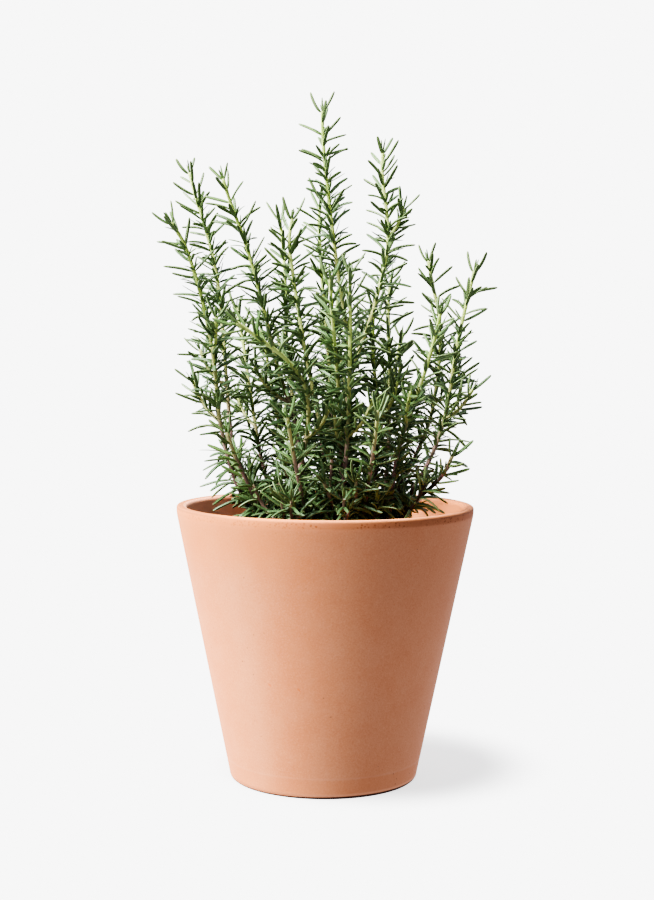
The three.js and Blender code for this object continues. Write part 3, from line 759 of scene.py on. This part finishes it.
def add_shoot(mesh, shoot, nodes, height_of, key):
    """The stem itself: square with rounded corners, swollen at its nodes, rounder when old."""
    count = max(6, int((shoot.length - shoot.at[0]) / STEM_RING_STEP))
    angles = round_angles(STEM_SIDES)
    cos, sin = np.cos(angles)[:, None], np.sin(angles)[:, None]
    nodes = np.array(nodes)
    wobble, luck = 6.3 * draw(*key, STEM_KEY), draw(*key, STEM_KEY, 3)
    points, place, tone = [], [], []
    for distance in np.linspace(shoot.at[0], shoot.length, count + 1):
        _, tangent, right, back, radius = shoot.frame(distance)
        below = shoot.length - distance
        swell = 0.15 * np.exp(-((nodes - distance) / 1.3) ** 2).sum()
        squareness = mix(0.13, 0.04, rise(below, STEM_OLD_BELOW))
        radii = mix(radius, STEM_EVEN_RADIUS, 0.6) * STEM_FULLER * (1 + swell) * (
            0.93 - squareness * np.cos(4 * angles) + 0.03 * np.sin(3 * angles + wobble + distance / 9))
        points.append(np.array(shoot.middle(distance)) + radii[:, None] * (
            cos * np.array(right) + sin * np.array(back)))
        place.append(np.hstack([cos, sin, np.full_like(cos, distance)]))
        tone.append(np.tile([height_of(below), 0, luck], (STEM_SIDES, 1)))
    end = np.array(shoot.middle(shoot.length) + tangent * 1.6)
    mesh.add(np.vstack([*points, end]), tube_faces(count + 1, STEM_SIDES),
             place=np.vstack([*place, (0, 0, shoot.length)]),
             tone=np.vstack([*tone, (height_of(0), 0, luck)]))


def dress_sprouts(name, members, materials):
    mesh = Mesh()
    for index in members:
        shoot, key = sprouts[index], (SPROUT_KEY, index)
        # Sprouts from 25 mm right of the axis get near-black painted shade on their whole stems; the rest get
        # the aged reddish colour.
        add_shoot(mesh, shoot, [], lambda below: 0.3 if shoot.points[0].x < 25 else -1.0, key)
        add_leaves(mesh, LEAF, shoot.needles, 120.0, key)
    piece = mesh.build(name, materials)
    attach(piece, "root")


def dress_plant(plant, materials):
    mesh = Mesh()
    main = plant.shoots[0]
    grown_up = max(main.length, STEM_GREEN_ABOVE)
    painted_shade_to = PAINTED_SHADE_FEET.get(plant.name, 0.0)
    for shoot in plant.shoots:
        nodes = sorted({round(axil[0], 3) for axil in shoot.axils})
        at_parent = shoot.attached / main.length
        if shoot is main:
            lower = 0.0
            scar = nodes[0]
            while scar > 6:
                scar -= STEM_SCAR_GAP
                nodes.append(scar)
            add_shoot(mesh, shoot, nodes, lambda below: (main.length - below) / grown_up
                      - 2 * rise(max(0.0, painted_shade_to - main.length + below), 25), shoot.keys)
        else:
            lower = 0.6 * (main.length - shoot.attached)
            add_shoot(mesh, shoot, nodes, lambda below: mix(
                mix(1.0, at_parent, 0.6), at_parent, below / shoot.length), shoot.keys)
        add_leaves(mesh, LEAF, shoot.needles, lower, shoot.keys)
        add_leaves(mesh, SMALL_LEAF, shoot.small, lower, shoot.keys)
    piece = mesh.build(f"rosemary_{plant.name}", materials)
    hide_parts(plant.name)
    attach(piece, "root")
    return piece


# ---- Materials ----
def reckoning(operation):
    return lambda *values: values[0].nodes.calc(operation, *values)


class Value:
    """What a node gives out, and the reckoning with it."""
    __add__, __sub__, __mul__, __abs__ = map(reckoning, ("ADD", "SUBTRACT", "MULTIPLY", "ABSOLUTE"))

    def __init__(self, nodes, socket):
        self.nodes, self.socket = nodes, socket

    def range(self, low, high, to_low=0.0, to_high=1.0):
        """Goes smoothly from to_low to to_high while this goes from low to high."""
        return self.nodes.give("MapRange", "Result", {
            "Value": self, "From Min": low, "From Max": high, "To Min": to_low, "To Max": to_high},
            interpolation_type="SMOOTHSTEP")


class Nodes:
    """A tree of shader nodes, which are added one by one and joined by their sockets."""

    def __init__(self, tree):
        self.tree = tree

    def node(self, kind, inputs, **settings):
        made = self.tree.nodes.new("ShaderNode" + kind)
        for key, value in settings.items():
            setattr(made, key, value)
        for key, value in inputs.items():
            self.feed(made.inputs[key], value)
        return made

    def give(self, kind, output, inputs, **settings):
        return Value(self, self.node(kind, inputs, **settings).outputs[output])

    def feed(self, socket, value):
        if isinstance(value, Value):
            self.tree.links.new(value.socket, socket)
        elif socket.type == "RGBA":
            socket.default_value = (*value, 1.0)
        else:
            socket.default_value = value

    def place(self, space="Object"):
        return self.give("TexCoord", space, {})

    def split(self, vector):
        parts = self.node("SeparateXYZ", {"Vector": vector})
        return [Value(self, part) for part in parts.outputs]

    def attribute(self, name):
        """The three numbers that the mesh's points carry under that name."""
        return self.split(self.give("Attribute", "Vector", {}, attribute_type="GEOMETRY",
                                    attribute_name=name))

    def noise(self, vector, scale, detail=3.0, roughness=0.55, distortion=0.0):
        return self.give("TexNoise", "Fac", {"Vector": vector, "Scale": scale, "Detail": detail,
                                             "Roughness": roughness, "Distortion": distortion})

    def cells(self, vector, scale):
        return self.give("TexVoronoi", "Distance", {"Vector": vector, "Scale": scale})

    def calc(self, operation, *values):
        return self.give("Math", 0, dict(enumerate(values)), operation=operation)

    def blend(self, share, a, b, how="MIX"):
        return self.give("Mix", 2, {0: share, 6: a, 7: b}, data_type="RGBA", blend_type=how)

    def layers(self, colour, *over):
        """Lays colours over a first one; over has the share and the colour of each."""
        for share, tint in over:
            colour = self.blend(share, colour, tint)
        return colour

    def bump(self, height, strength, distance):
        return self.give("Bump", "Normal", {"Height": height, "Strength": strength, "Distance": distance})


class Look(Nodes):
    """A material round one principled shader."""

    def __init__(self, name, settings):
        self.material = bpy.data.materials.new(name)
        self.material.use_nodes = True
        super().__init__(self.material.node_tree)
        self.tree.nodes.clear()
        self.shader = self.node("BsdfPrincipled", settings)
        self.output = self.node("OutputMaterial", {"Surface": Value(self, self.shader.outputs["BSDF"])})

    def finish(self, colour, rough, normal):
        for key, value in (("Base Color", colour), ("Roughness", rough), ("Normal", normal)):
            self.feed(self.shader.inputs[key], value)
        return self.material


def leaf_material():
    look = Look("rosemary_leaf", {"Specular IOR Level": 0.36})
    along, across, under = look.attribute("place")
    age, luck, hue = look.attribute("tone")
    across = abs(across)
    young = look.blend(hue, (0.135, 0.222, 0.060), (0.098, 0.186, 0.056))
    grown = look.blend(hue, (0.064, 0.126, 0.048), (0.096, 0.164, 0.074))
    upper = look.layers(
        look.blend(age.range(0.02, 0.55), young, grown),
        (luck * 0.36, (0.022, 0.052, 0.022)),  # darker leaves
        (across.range(0.26, 0.04, 0.0, 0.6), (0.15, 0.23, 0.055)),  # groove
        (across.range(0.84, 1.0, 0.0, 0.75), (0.33, 0.42, 0.175)))  # edge
    below = look.layers(
        look.blend(hue, (0.19, 0.265, 0.110), (0.14, 0.20, 0.076)),
        (across.range(0.3, 0.12, 0.0, 0.6), (0.17, 0.27, 0.08)))  # midrib
    grain = look.noise(look.place(), 420.0)
    colour = look.layers(
        look.blend(under.range(0.25, 0.75), upper, below),
        (along.range(0.16, 0.0, 0.0, 0.7), (0.36, 0.42, 0.18)),  # foot
        (along.range(0.93, 1.0, 0.0, 0.5), (0.16, 0.13, 0.05)),  # tip
        (grain.range(0.3, 0.7, 0.0, 0.22), (0.03, 0.06, 0.02)))
    felt = look.noise(look.place(), 2600.0, 2.0)
    return look.finish(colour, under.range(0.2, 0.8, 0.4, 0.85), look.bump(felt, 0.25, 0.0002))


def stem_material():
    """Pale green at the tip, then yellowish, reddish and at last grey-brown bark at the foot; some stems and
    sprouts get near-black painted shade at the foot.
    """
    look = Look("rosemary_stem", {"Specular IOR Level": 0.4})
    x, y, distance = look.attribute("place")
    height, _, luck = look.attribute("tone")
    around = look.give("CombineXYZ", "Vector", {"X": x * 1.6, "Y": y * 1.6, "Z": distance * 0.035})
    streaks = look.noise(around, 3.2, 4.0, 0.6)
    patches = look.noise(look.place(), 55.0, 3.0, 0.5)
    tip = look.blend(luck, (0.43, 0.57, 0.125), (0.52, 0.61, 0.19))
    grown = look.blend(patches, (0.46, 0.45, 0.17), (0.36, 0.39, 0.13))
    aged = look.blend(patches.range(0.35, 0.65), (0.33, 0.20, 0.17), (0.24, 0.12, 0.13))
    bark = look.blend(streaks, (0.18, 0.135, 0.11), (0.09, 0.065, 0.055))
    shifted = height + (patches - 0.5) * 0.3
    pale = look.blend(shifted.range(0.5, 0.75), (0.60, 0.56, 0.36), (0.58, 0.66, 0.24))
    colour = look.layers(
        tip,
        (shifted.range(0.78, 0.5), grown),
        (shifted.range(0.47, 0.25), aged),
        (shifted.range(0.2, 0.03), bark),
        (streaks.range(0.5, 0.75, 0.0, 0.4), pale),
        (height.range(-0.1, -0.6), (0.028, 0.020, 0.016)),  # painted shade: near-black feet for stems and sprouts that stand in shadow
        (streaks.range(0.5, 0.3, 0.0, 0.35), (0.16, 0.17, 0.06)))  # dark streaks
    return look.finish(colour, 0.62, look.bump(streaks, 0.5, 0.0004))


# In metres: the marks on the front are as far to the right and up, the rest are heights.
POT_DASHES = ((-0.041, 0.0916), (-0.0188, 0.0895))
POT_MOULD_LINE = 0.017
POT_BAND_LOW = 0.2153
POT_BAND_TOP = 0.2197


def pot_material():
    look = Look("terracotta", {"Specular IOR Level": 0.12, "Sheen Weight": 0.06, "Sheen Roughness": 0.4})
    place = look.place()
    x, y, z = look.split(place)
    stretched = look.give("Mapping", "Vector", {"Vector": place, "Scale": (1.0, 1.0, 0.3)})
    clouds = look.noise(stretched, 12.0, 3.0, 0.5, 0.2)
    mottle = look.noise(place, 48.0, 5.0, 0.6)
    grain = look.noise(place, 820.0, 3.0, 0.6)
    freckles = look.cells(place, 260.0).range(0.2, 0.08) * look.noise(place, 60.0).range(0.5, 0.62, 0.0, 0.3)
    colour = look.layers(
        look.blend(clouds.range(0.35, 0.65), (0.70, 0.275, 0.135), (0.72, 0.31, 0.165)),
        (mottle.range(0.42, 0.7, 0.0, 0.25), (0.76, 0.36, 0.21)),  # pale blotches
        (mottle.range(0.5, 0.25, 0.0, 0.25), (0.64, 0.235, 0.115)),  # dark blotches
        (grain.range(0.5, 0.72, 0.0, 0.32), (0.86, 0.42, 0.25)),  # pale grains
        (grain.range(0.5, 0.28, 0.0, 0.26), (0.56, 0.17, 0.07)),  # dark grains
        (freckles, (0.68, 0.19, 0.07)))
    for x0, z0 in POT_DASHES:
        right, down = x - x0, look.calc("SUBTRACT", z0, z)
        along, across = right + down, right - down
        dash = (along * along + across * across * 7.0).range(9e-6, 1e-6, 0.0, 0.55) * y.range(0.0, -0.01)
        colour = look.blend(dash, colour, (0.72, 0.17, 0.05))

    level = z + (mottle - 0.5) * 0.006
    line = (z.range(POT_MOULD_LINE - 0.0012, POT_MOULD_LINE)
            * z.range(POT_MOULD_LINE + 0.0014, POT_MOULD_LINE + 0.0004))
    ragged = z + (grain - 0.5) * 0.004
    band = ragged.range(POT_BAND_LOW - 0.0011, POT_BAND_LOW + 0.0007) * z.range(
        POT_BAND_TOP + 0.0004, POT_BAND_TOP - 0.0004)
    specks = band * look.cells(place, 460.0).range(0.46, 0.24) * mottle.range(0.36, 0.52)
    few = look.cells(place, 130.0).range(0.11, 0.05) * look.noise(place, 21.0).range(0.55, 0.62)
    colour = look.layers(
        colour,
        (level.range(POT_MOULD_LINE + 0.001, POT_MOULD_LINE - 0.0015, 0.0, 0.3), (0.70, 0.26, 0.12)),
        (line * 0.24, (0.78, 0.38, 0.24)),
        (band * x.range(-0.06, 0.08, 0.27, 0.68), (0.48, 0.17, 0.075)),  # the rim band's own darker colour, deepened towards the right as painted shade
        (specks * x.range(-0.06, 0.03, 0.6, 0.8), (0.36, 0.115, 0.048)),
        (few * 0.6, (0.30, 0.13, 0.07)),
        (z.range(0.165, 0.2, 0.0, 0.45) * x.range(0.0, -0.05), (0.74, 0.265, 0.09)))  # painted warm light on the upper left, where the lamp falls
    # Painted shade: the wall is darkened towards the lip.
    shade = z.range(0.085, 0.205, 1.0, 0.88)
    shade = look.give("CombineXYZ", "Vector", {"X": shade, "Y": shade, "Z": shade})
    colour = look.blend(1.0, colour, shade, "MULTIPLY")

    foot_radius = look.calc("SQRT", x * x + y * y) - z * POT_SLOPE
    wall_foot = POT_WALL_FOOT_RADIUS - POT_WALL
    inside = z.range((POT_FLOOR - 1) * MM, (POT_FLOOR + 1) * MM) * foot_radius.range(
        (wall_foot + 3) * MM, (wall_foot + 1) * MM)
    # Painted light and shade on the inner wall: pale at its far left edge, shaded on the left, lit from the
    # middle to the right and shaded again at the far right.
    lining_light_and_shade = look.layers(
        look.blend(x.range(-0.094, -0.07), (0.93, 0.44, 0.31), (0.58, 0.225, 0.145)),
        (x.range(-0.03, 0.05), (0.90, 0.37, 0.20)),
        (x.range(0.086, 0.110), (0.50, 0.19, 0.09)))
    contact = z - x.range(-0.07, 0.035, 0.0013, 0.0027)
    colour = look.layers(
        colour,
        (z.range(0.2188, 0.2202) * abs(x).range(0.055, 0.1, 0.0, 0.8), (0.34, 0.135, 0.07)),  # painted shade: the lip's top darker at its left and right ends
        (inside, lining_light_and_shade),
        (z.range(0.0052, 0.004) * x.range(-0.06, 0.0, 0.0, 0.5), (0.90, 0.42, 0.24)),  # painted highlight: a pale line along the foot's edge on the lit left side
        (contact.range(0.0005, -0.0005), (0.045, 0.014, 0.008)))  # shade where it stands
    return look.finish(colour, mottle.range(0.3, 0.7, 0.8, 0.92),
                       look.bump(grain * 0.6 + mottle * 0.5, 0.35, 0.0004))


def soil_material():
    look = Look("compost", {"Specular IOR Level": 0.3})
    place = look.place()
    lumps = look.noise(place, 260.0, 5.0, 0.65)
    grit = look.noise(place, 1400.0, 3.0, 0.6)
    colour = look.layers(
        look.blend(lumps.range(0.3, 0.7), (0.013, 0.009, 0.007), (0.045, 0.030, 0.020)),
        (grit.range(0.58, 0.75, 0.0, 0.6), (0.11, 0.075, 0.045)))
    return look.finish(colour, 0.93, look.bump(grit, 0.8, 0.0008))


# ---- Pot ----
POT_AROUND = 192
POT_STRAIGHT_TO = 212.5
POT_UPRIGHT_FROM = 219.0
LIP_OUTER_ROUND = 1.9
LIP_INNER_ROUND = 4.1
LIP_INNER_MIDDLE = (115.4, POT_HEIGHT - 4.2)
LIP_INNER_LOW = 216.0


def arc(centre, radius, start, end, count):
    """Points of an arc in degrees, as (radius, height)."""
    angles = np.radians(np.linspace(start, end, count))
    return [(centre[0] + radius * math.cos(a), centre[1] + radius * math.sin(a)) for a in angles]


def pot_profile():
    """Anticlockwise: up the outside, over the lip and down the inside."""
    profile = [(0.0, 0.0), (POT_FOOT_FLAT_RADIUS - 6, 0.0), (POT_FOOT_FLAT_RADIUS, 0.0)]
    profile += [(74.2, 0.35), (75.3, 1.2), (76.1, 2.6)]
    for z in np.linspace(5, 205, 21):
        profile.append((outer_radius(z), z))
    for z in np.linspace(POT_STRAIGHT_TO, POT_UPRIGHT_FROM, 7):
        over = z - POT_STRAIGHT_TO
        profile.append((outer_radius(POT_STRAIGHT_TO) + POT_SLOPE * over
                        * (1 - over / 2 / (POT_UPRIGHT_FROM - POT_STRAIGHT_TO)), z))
    outer = (profile[-1][0] - LIP_OUTER_ROUND, POT_HEIGHT - LIP_OUTER_ROUND)
    profile += arc(outer, LIP_OUTER_ROUND, 6, 88, 9)
    profile += arc(LIP_INNER_MIDDLE, LIP_INNER_ROUND, 84, 180, 10)
    for z in np.linspace(LIP_INNER_LOW, POT_FLOOR + 8, 16):
        profile.append((inner_radius(z), z))
    floor = inner_radius(POT_FLOOR)
    return np.array(profile + [(floor - 2.5, POT_FLOOR + 2.5), (floor - 8, POT_FLOOR), (0.0, POT_FLOOR)])


def make_pot(material):
    profile = pot_profile()
    angles = round_angles(POT_AROUND)
    turned = profile[1:-1]
    rings = np.stack([level_ring(angles, radius, z) for radius, z in turned])
    points = np.vstack([rings.reshape(-1, 3), [(0, 0, profile[-1][1]), (0, 0, profile[0][1])]])
    quads, fan = tube_faces(len(turned), POT_AROUND, False, True)
    foot = len(points) - 1
    side = np.arange(POT_AROUND)
    under = np.stack([(side + 1) % POT_AROUND, side, np.full(POT_AROUND, foot)], -1)
    mesh = Mesh()
    mesh.add(points, [quads, fan, under])
    piece = mesh.build("clay_pot", [material])
    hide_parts("pot")
    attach(piece, "root")
    return piece


# ---- Soil ----
SOIL_AROUND = 300
SOIL_RINGS = 92
# Rings up the side, as (height, clearance from the wall, how much the ring is lifted).
SOIL_SIDE = ((POT_FLOOR, 8.6, 0.4), (POT_FLOOR + 6, 0.6, 0.4), (100, 0.5, 0), (190, 0.5, 0))
CRUMBS = 620
CHIPS = 130


def soil_height(x, y):
    """Level soil round the wall, the root ball in the middle, and crumbs all over."""
    radius = math.hypot(x, y) + 2.2 * noise.noise((x / 13, y / 13, 0))
    share = smooth(radius, ROOT_BALL_FLAT_RADIUS - 1, ROOT_BALL_FOOT_RADIUS + 1)
    level = mix(ROOT_BALL_TOP, SOIL_LEVEL + 1, share)
    coarse = noise.noise((x / 16, y / 16, 3.0))
    crumb = noise.turbulence((x / 5.0, y / 5.0, 7.0), 4, False)
    return level + 1.4 * coarse + 2.2 * (crumb - 0.5)


def make_soil(material):
    mesh = Mesh()
    edge = inner_radius(SOIL_LEVEL) - 0.5
    angles = round_angles(SOIL_AROUND)
    rings = [level_ring(angles, inner_radius(z) - play, z + lift) for z, play, lift in SOIL_SIDE]
    for k in range(SOIL_RINGS, 0, -1):
        radius = edge * k / SOIL_RINGS
        heights = [soil_height(radius * math.cos(a), radius * math.sin(a)) for a in angles]
        rings.append(level_ring(angles, radius, heights))
    points = np.vstack([np.concatenate(rings), [(0, 0, soil_height(0, 0))]])
    mesh.add(points, tube_faces(len(rings), SOIL_AROUND))
    ball, faces = ico_ball()
    for index in range(CRUMBS + CHIPS):
        keys = (900, index)
        radius = (edge - 3) * math.sqrt(draw(*keys, 1))
        angle = 2 * math.pi * draw(*keys, 2)
        x, y = radius * math.cos(angle), radius * math.sin(angle)
        z = soil_height(x, y)
        turn = Matrix.Rotation(6.3 * draw(*keys, 3), 3, "Z") @ Matrix.Rotation(spread(0.5, *keys, 4), 3, "X")
        if index < CRUMBS:
            size = 0.7 + 1.9 * draw(*keys, 5) ** 2
            lumps = [[noise.noise(Vector(p) * 1.7 + Vector((index, 0, 0)))] for p in ball]
            points = ball * (1 + 0.35 * np.array(lumps)) * size * np.array([1, 0.85, 0.7])
            z += 0.25 * size
        else:
            size = 2.0 + 4.5 * draw(*keys, 5)
            points = ball * size * np.array([1, 0.22 + 0.15 * draw(*keys, 6), 0.13])
        mesh.add(points @ np.array(turn).T + np.array([x, y, z]), [faces])
    piece = mesh.build("compost", [material])
    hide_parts("soil")
    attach(piece, "root")
    return piece


def ico_ball():
    """The points and the 80 faces of a ball."""
    golden = (1 + 5 ** 0.5) / 2
    points = [np.roll((0, a, b * golden), k) for k in range(3) for a in (-1, 1) for b in (-1, 1)]
    edges = [pair for pair in itertools.combinations(range(12), 2)
             if math.dist(points[pair[0]], points[pair[1]]) < 2.1]
    halves = {pair: 12 + k for k, pair in enumerate(edges)}
    points = np.array(points + [(points[a] + points[b]) / 2 for a, b in edges])
    faces = []
    for a, b, c in itertools.combinations(range(12), 3):
        if {(a, b), (a, c), (b, c)} <= halves.keys():
            if np.linalg.det(points[[a, b, c]]) < 0:
                b, c = c, b
            ab, bc, ca = (halves[min(pair), max(pair)] for pair in ((a, b), (b, c), (c, a)))
            faces += [(a, ab, ca), (b, bc, ab), (c, ca, bc), (ab, bc, ca)]
    return unit(points), np.array(faces)


# ---- The object ----
clay_pot = make_pot(pot_material())
make_soil(soil_material())
plant_materials = [stem_material(), leaf_material()]
bush = [dress_plant(plant, plant_materials) for plant in plants]
for part in range(3):
    dress_sprouts(f"rosemary_sprouts_{part + 1}", range(part, SPROUTS, 3), plant_materials)


# ---- Stage, light and camera ----
FLOOR_GLOW = 1.05
FLOOR_WHITE = 0.34
WALL_GLOW = 2.8
# The shadow lies only in this round, which is centred behind the pot on its right.
FLOOR_LIT_CENTRE = (0.045, 0.045)
FLOOR_LIT_TO = 0.085
FLOOR_EVEN_FROM = 0.155
WHITE = (1.0, 1.0, 1.0)


def stage_material(name, glow, white):
    """Plain pale board that gives off much of its own light, so that shadows on it stay pale."""
    look = Look(name, {"Roughness": 0.95, "Base Color": (white, white, white), "Specular IOR Level": 0.0})
    lamp, even = (look.give("Emission", 0, {"Color": WHITE, "Strength": strength})
                  for strength in (glow, WALL_GLOW))
    joined = look.give("AddShader", 0, {0: Value(look, look.shader.outputs["BSDF"]), 1: lamp})
    off = [side - middle for side, middle in zip(look.split(look.place()), FLOOR_LIT_CENTRE)]
    radius = look.calc("SQRT", off[0] * off[0] + off[1] * off[1])
    far = radius.range(FLOOR_LIT_TO, FLOOR_EVEN_FROM) if white else 1.0
    look.feed(look.output.inputs["Surface"], look.give("MixShader", 0, {0: far, 1: joined, 2: even}))
    return look.material


def make_stage():
    """A flat round floor whose edge sweeps up into a wall all round; only the camera sees them."""
    around, boards = 96, []
    angles = round_angles(around)
    floor = [(0.0001, 0.0), (300, 0.0), (700, 0.0), (1300, 0.0), (1900, 0.0)]
    sweep = [(1900 + 900 * math.sin(a), 900 - 900 * math.cos(a)) for a in np.linspace(0.1, math.pi / 2, 16)]
    wall = [(1900, 0.0), *sweep, (2800, 2400), (2500, 3600), (1500, 4400), (0.0001, 4600)]
    for name, profile, glow, white in (("pale_floor", floor, FLOOR_GLOW, FLOOR_WHITE),
                                       ("pale_wall", wall, WALL_GLOW, 0.0)):
        points = [level_ring(angles, radius, z - 0.15) for radius, z in profile]
        mesh = Mesh()
        mesh.add(points, [tube_faces(len(profile), around, False, False)[0][:, ::-1]])
        stage = mesh.build(name, [stage_material(name, glow, white)])
        stage.visible_diffuse = stage.visible_glossy = stage.visible_shadow = False
        boards.append(stage)
    return boards


def light_group(name, pieces, state="INCLUDE"):
    group = bpy.data.collections.new(name)
    for index, piece in enumerate(pieces):
        group.objects.link(piece)
        group.collection_objects[index].light_linking.link_state = state
    return group


def add_lamp(name, place, target, size, power, lit, state="INCLUDE", shading=None):
    """The lamp lights only the pieces lit, or with EXCLUDE all but those; only shading throws its shadows."""
    data = bpy.data.lights.new(name, "AREA")
    data.shape = "DISK"
    data.size = size
    data.energy = power
    lamp = bpy.data.objects.new(name, data)
    lamp.location = place
    lamp.rotation_euler = (Vector(target) - Vector(place)).to_track_quat("-Z", "Y").to_euler()
    bpy.context.scene.collection.objects.link(lamp)
    lamp.light_linking.receiver_collection = light_group(f"{name}_lights", lit, state)
    if shading:
        lamp.light_linking.blocker_collection = light_group(f"{name}_shadows", shading)
    return lamp


def make_camera():
    data = bpy.data.cameras.new("camera")
    data.sensor_fit = "VERTICAL"
    data.sensor_height = data.sensor_width = CAMERA_SENSOR
    data.lens = CAMERA_LENS
    data.clip_start = 0.05
    data.clip_end = 20.0
    data.dof.use_dof = False
    right = Vector((1, 0, 0))
    up = Vector((0, math.sin(CAMERA_PITCH), math.cos(CAMERA_PITCH)))
    c, s = math.cos(CAMERA_ROLL), math.sin(CAMERA_ROLL)
    across, upright = right * c + up * s, up * c - right * s
    matrix = Matrix((across, upright, across.cross(upright))).transposed().to_4x4()
    matrix.translation = Vector(CAMERA_PLACE) * MM
    camera = bpy.data.objects.new("camera", data)
    camera.matrix_world = matrix
    bpy.context.scene.collection.objects.link(camera)
    bpy.context.scene.camera = camera


# The air is lit evenly but for a darker part low in front on the right.
FILL = 1.28
FILL_COLOUR = (0.965, 1.0, 1.13)
DARK_WAY = (0.52, -0.80, 0.28)
DARK_BY = 0.8


def make_world():
    world = bpy.data.worlds.new("studio")
    world.use_nodes = True
    nodes = Nodes(world.node_tree)
    share = nodes.give("VectorMath", "Value", {0: nodes.place("Generated"), 1: DARK_WAY},
                       operation="DOT_PRODUCT")
    air = world.node_tree.nodes["Background"].inputs
    nodes.feed(air["Strength"], share.range(-0.35, 0.95, 1.0, 1.0 - DARK_BY) * FILL)
    nodes.feed(air["Color"], FILL_COLOUR)
    bpy.context.scene.world = world


# The key lamp's place, its target, size and power; the same again warms the pot alone.
KEY = ((-2.05, -0.75, 2.9), (0, 0, 0.24), 2.1, 600.0)
KEY_ON_POT_COLOUR = (1.0, 0.95, 0.73)
OVER_FLOOR = ((-0.5, -0.14, 2.0), (0, 0, 0), 1.0, 190.0)

stage_boards = make_stage()
make_camera()
add_lamp("key", *KEY, [*stage_boards, clay_pot], "EXCLUDE")
key_on_pot = add_lamp("key_on_pot", *KEY, [clay_pot], shading=[clay_pot, *bush[::3]])
key_on_pot.data.color = KEY_ON_POT_COLOUR
add_lamp("over_floor", *OVER_FLOOR, stage_boards, shading=[clay_pot])
make_world()
bpy.context.scene.view_settings.view_transform = "AgX"
bpy.context.scene.view_settings.look = "AgX - High Contrast"
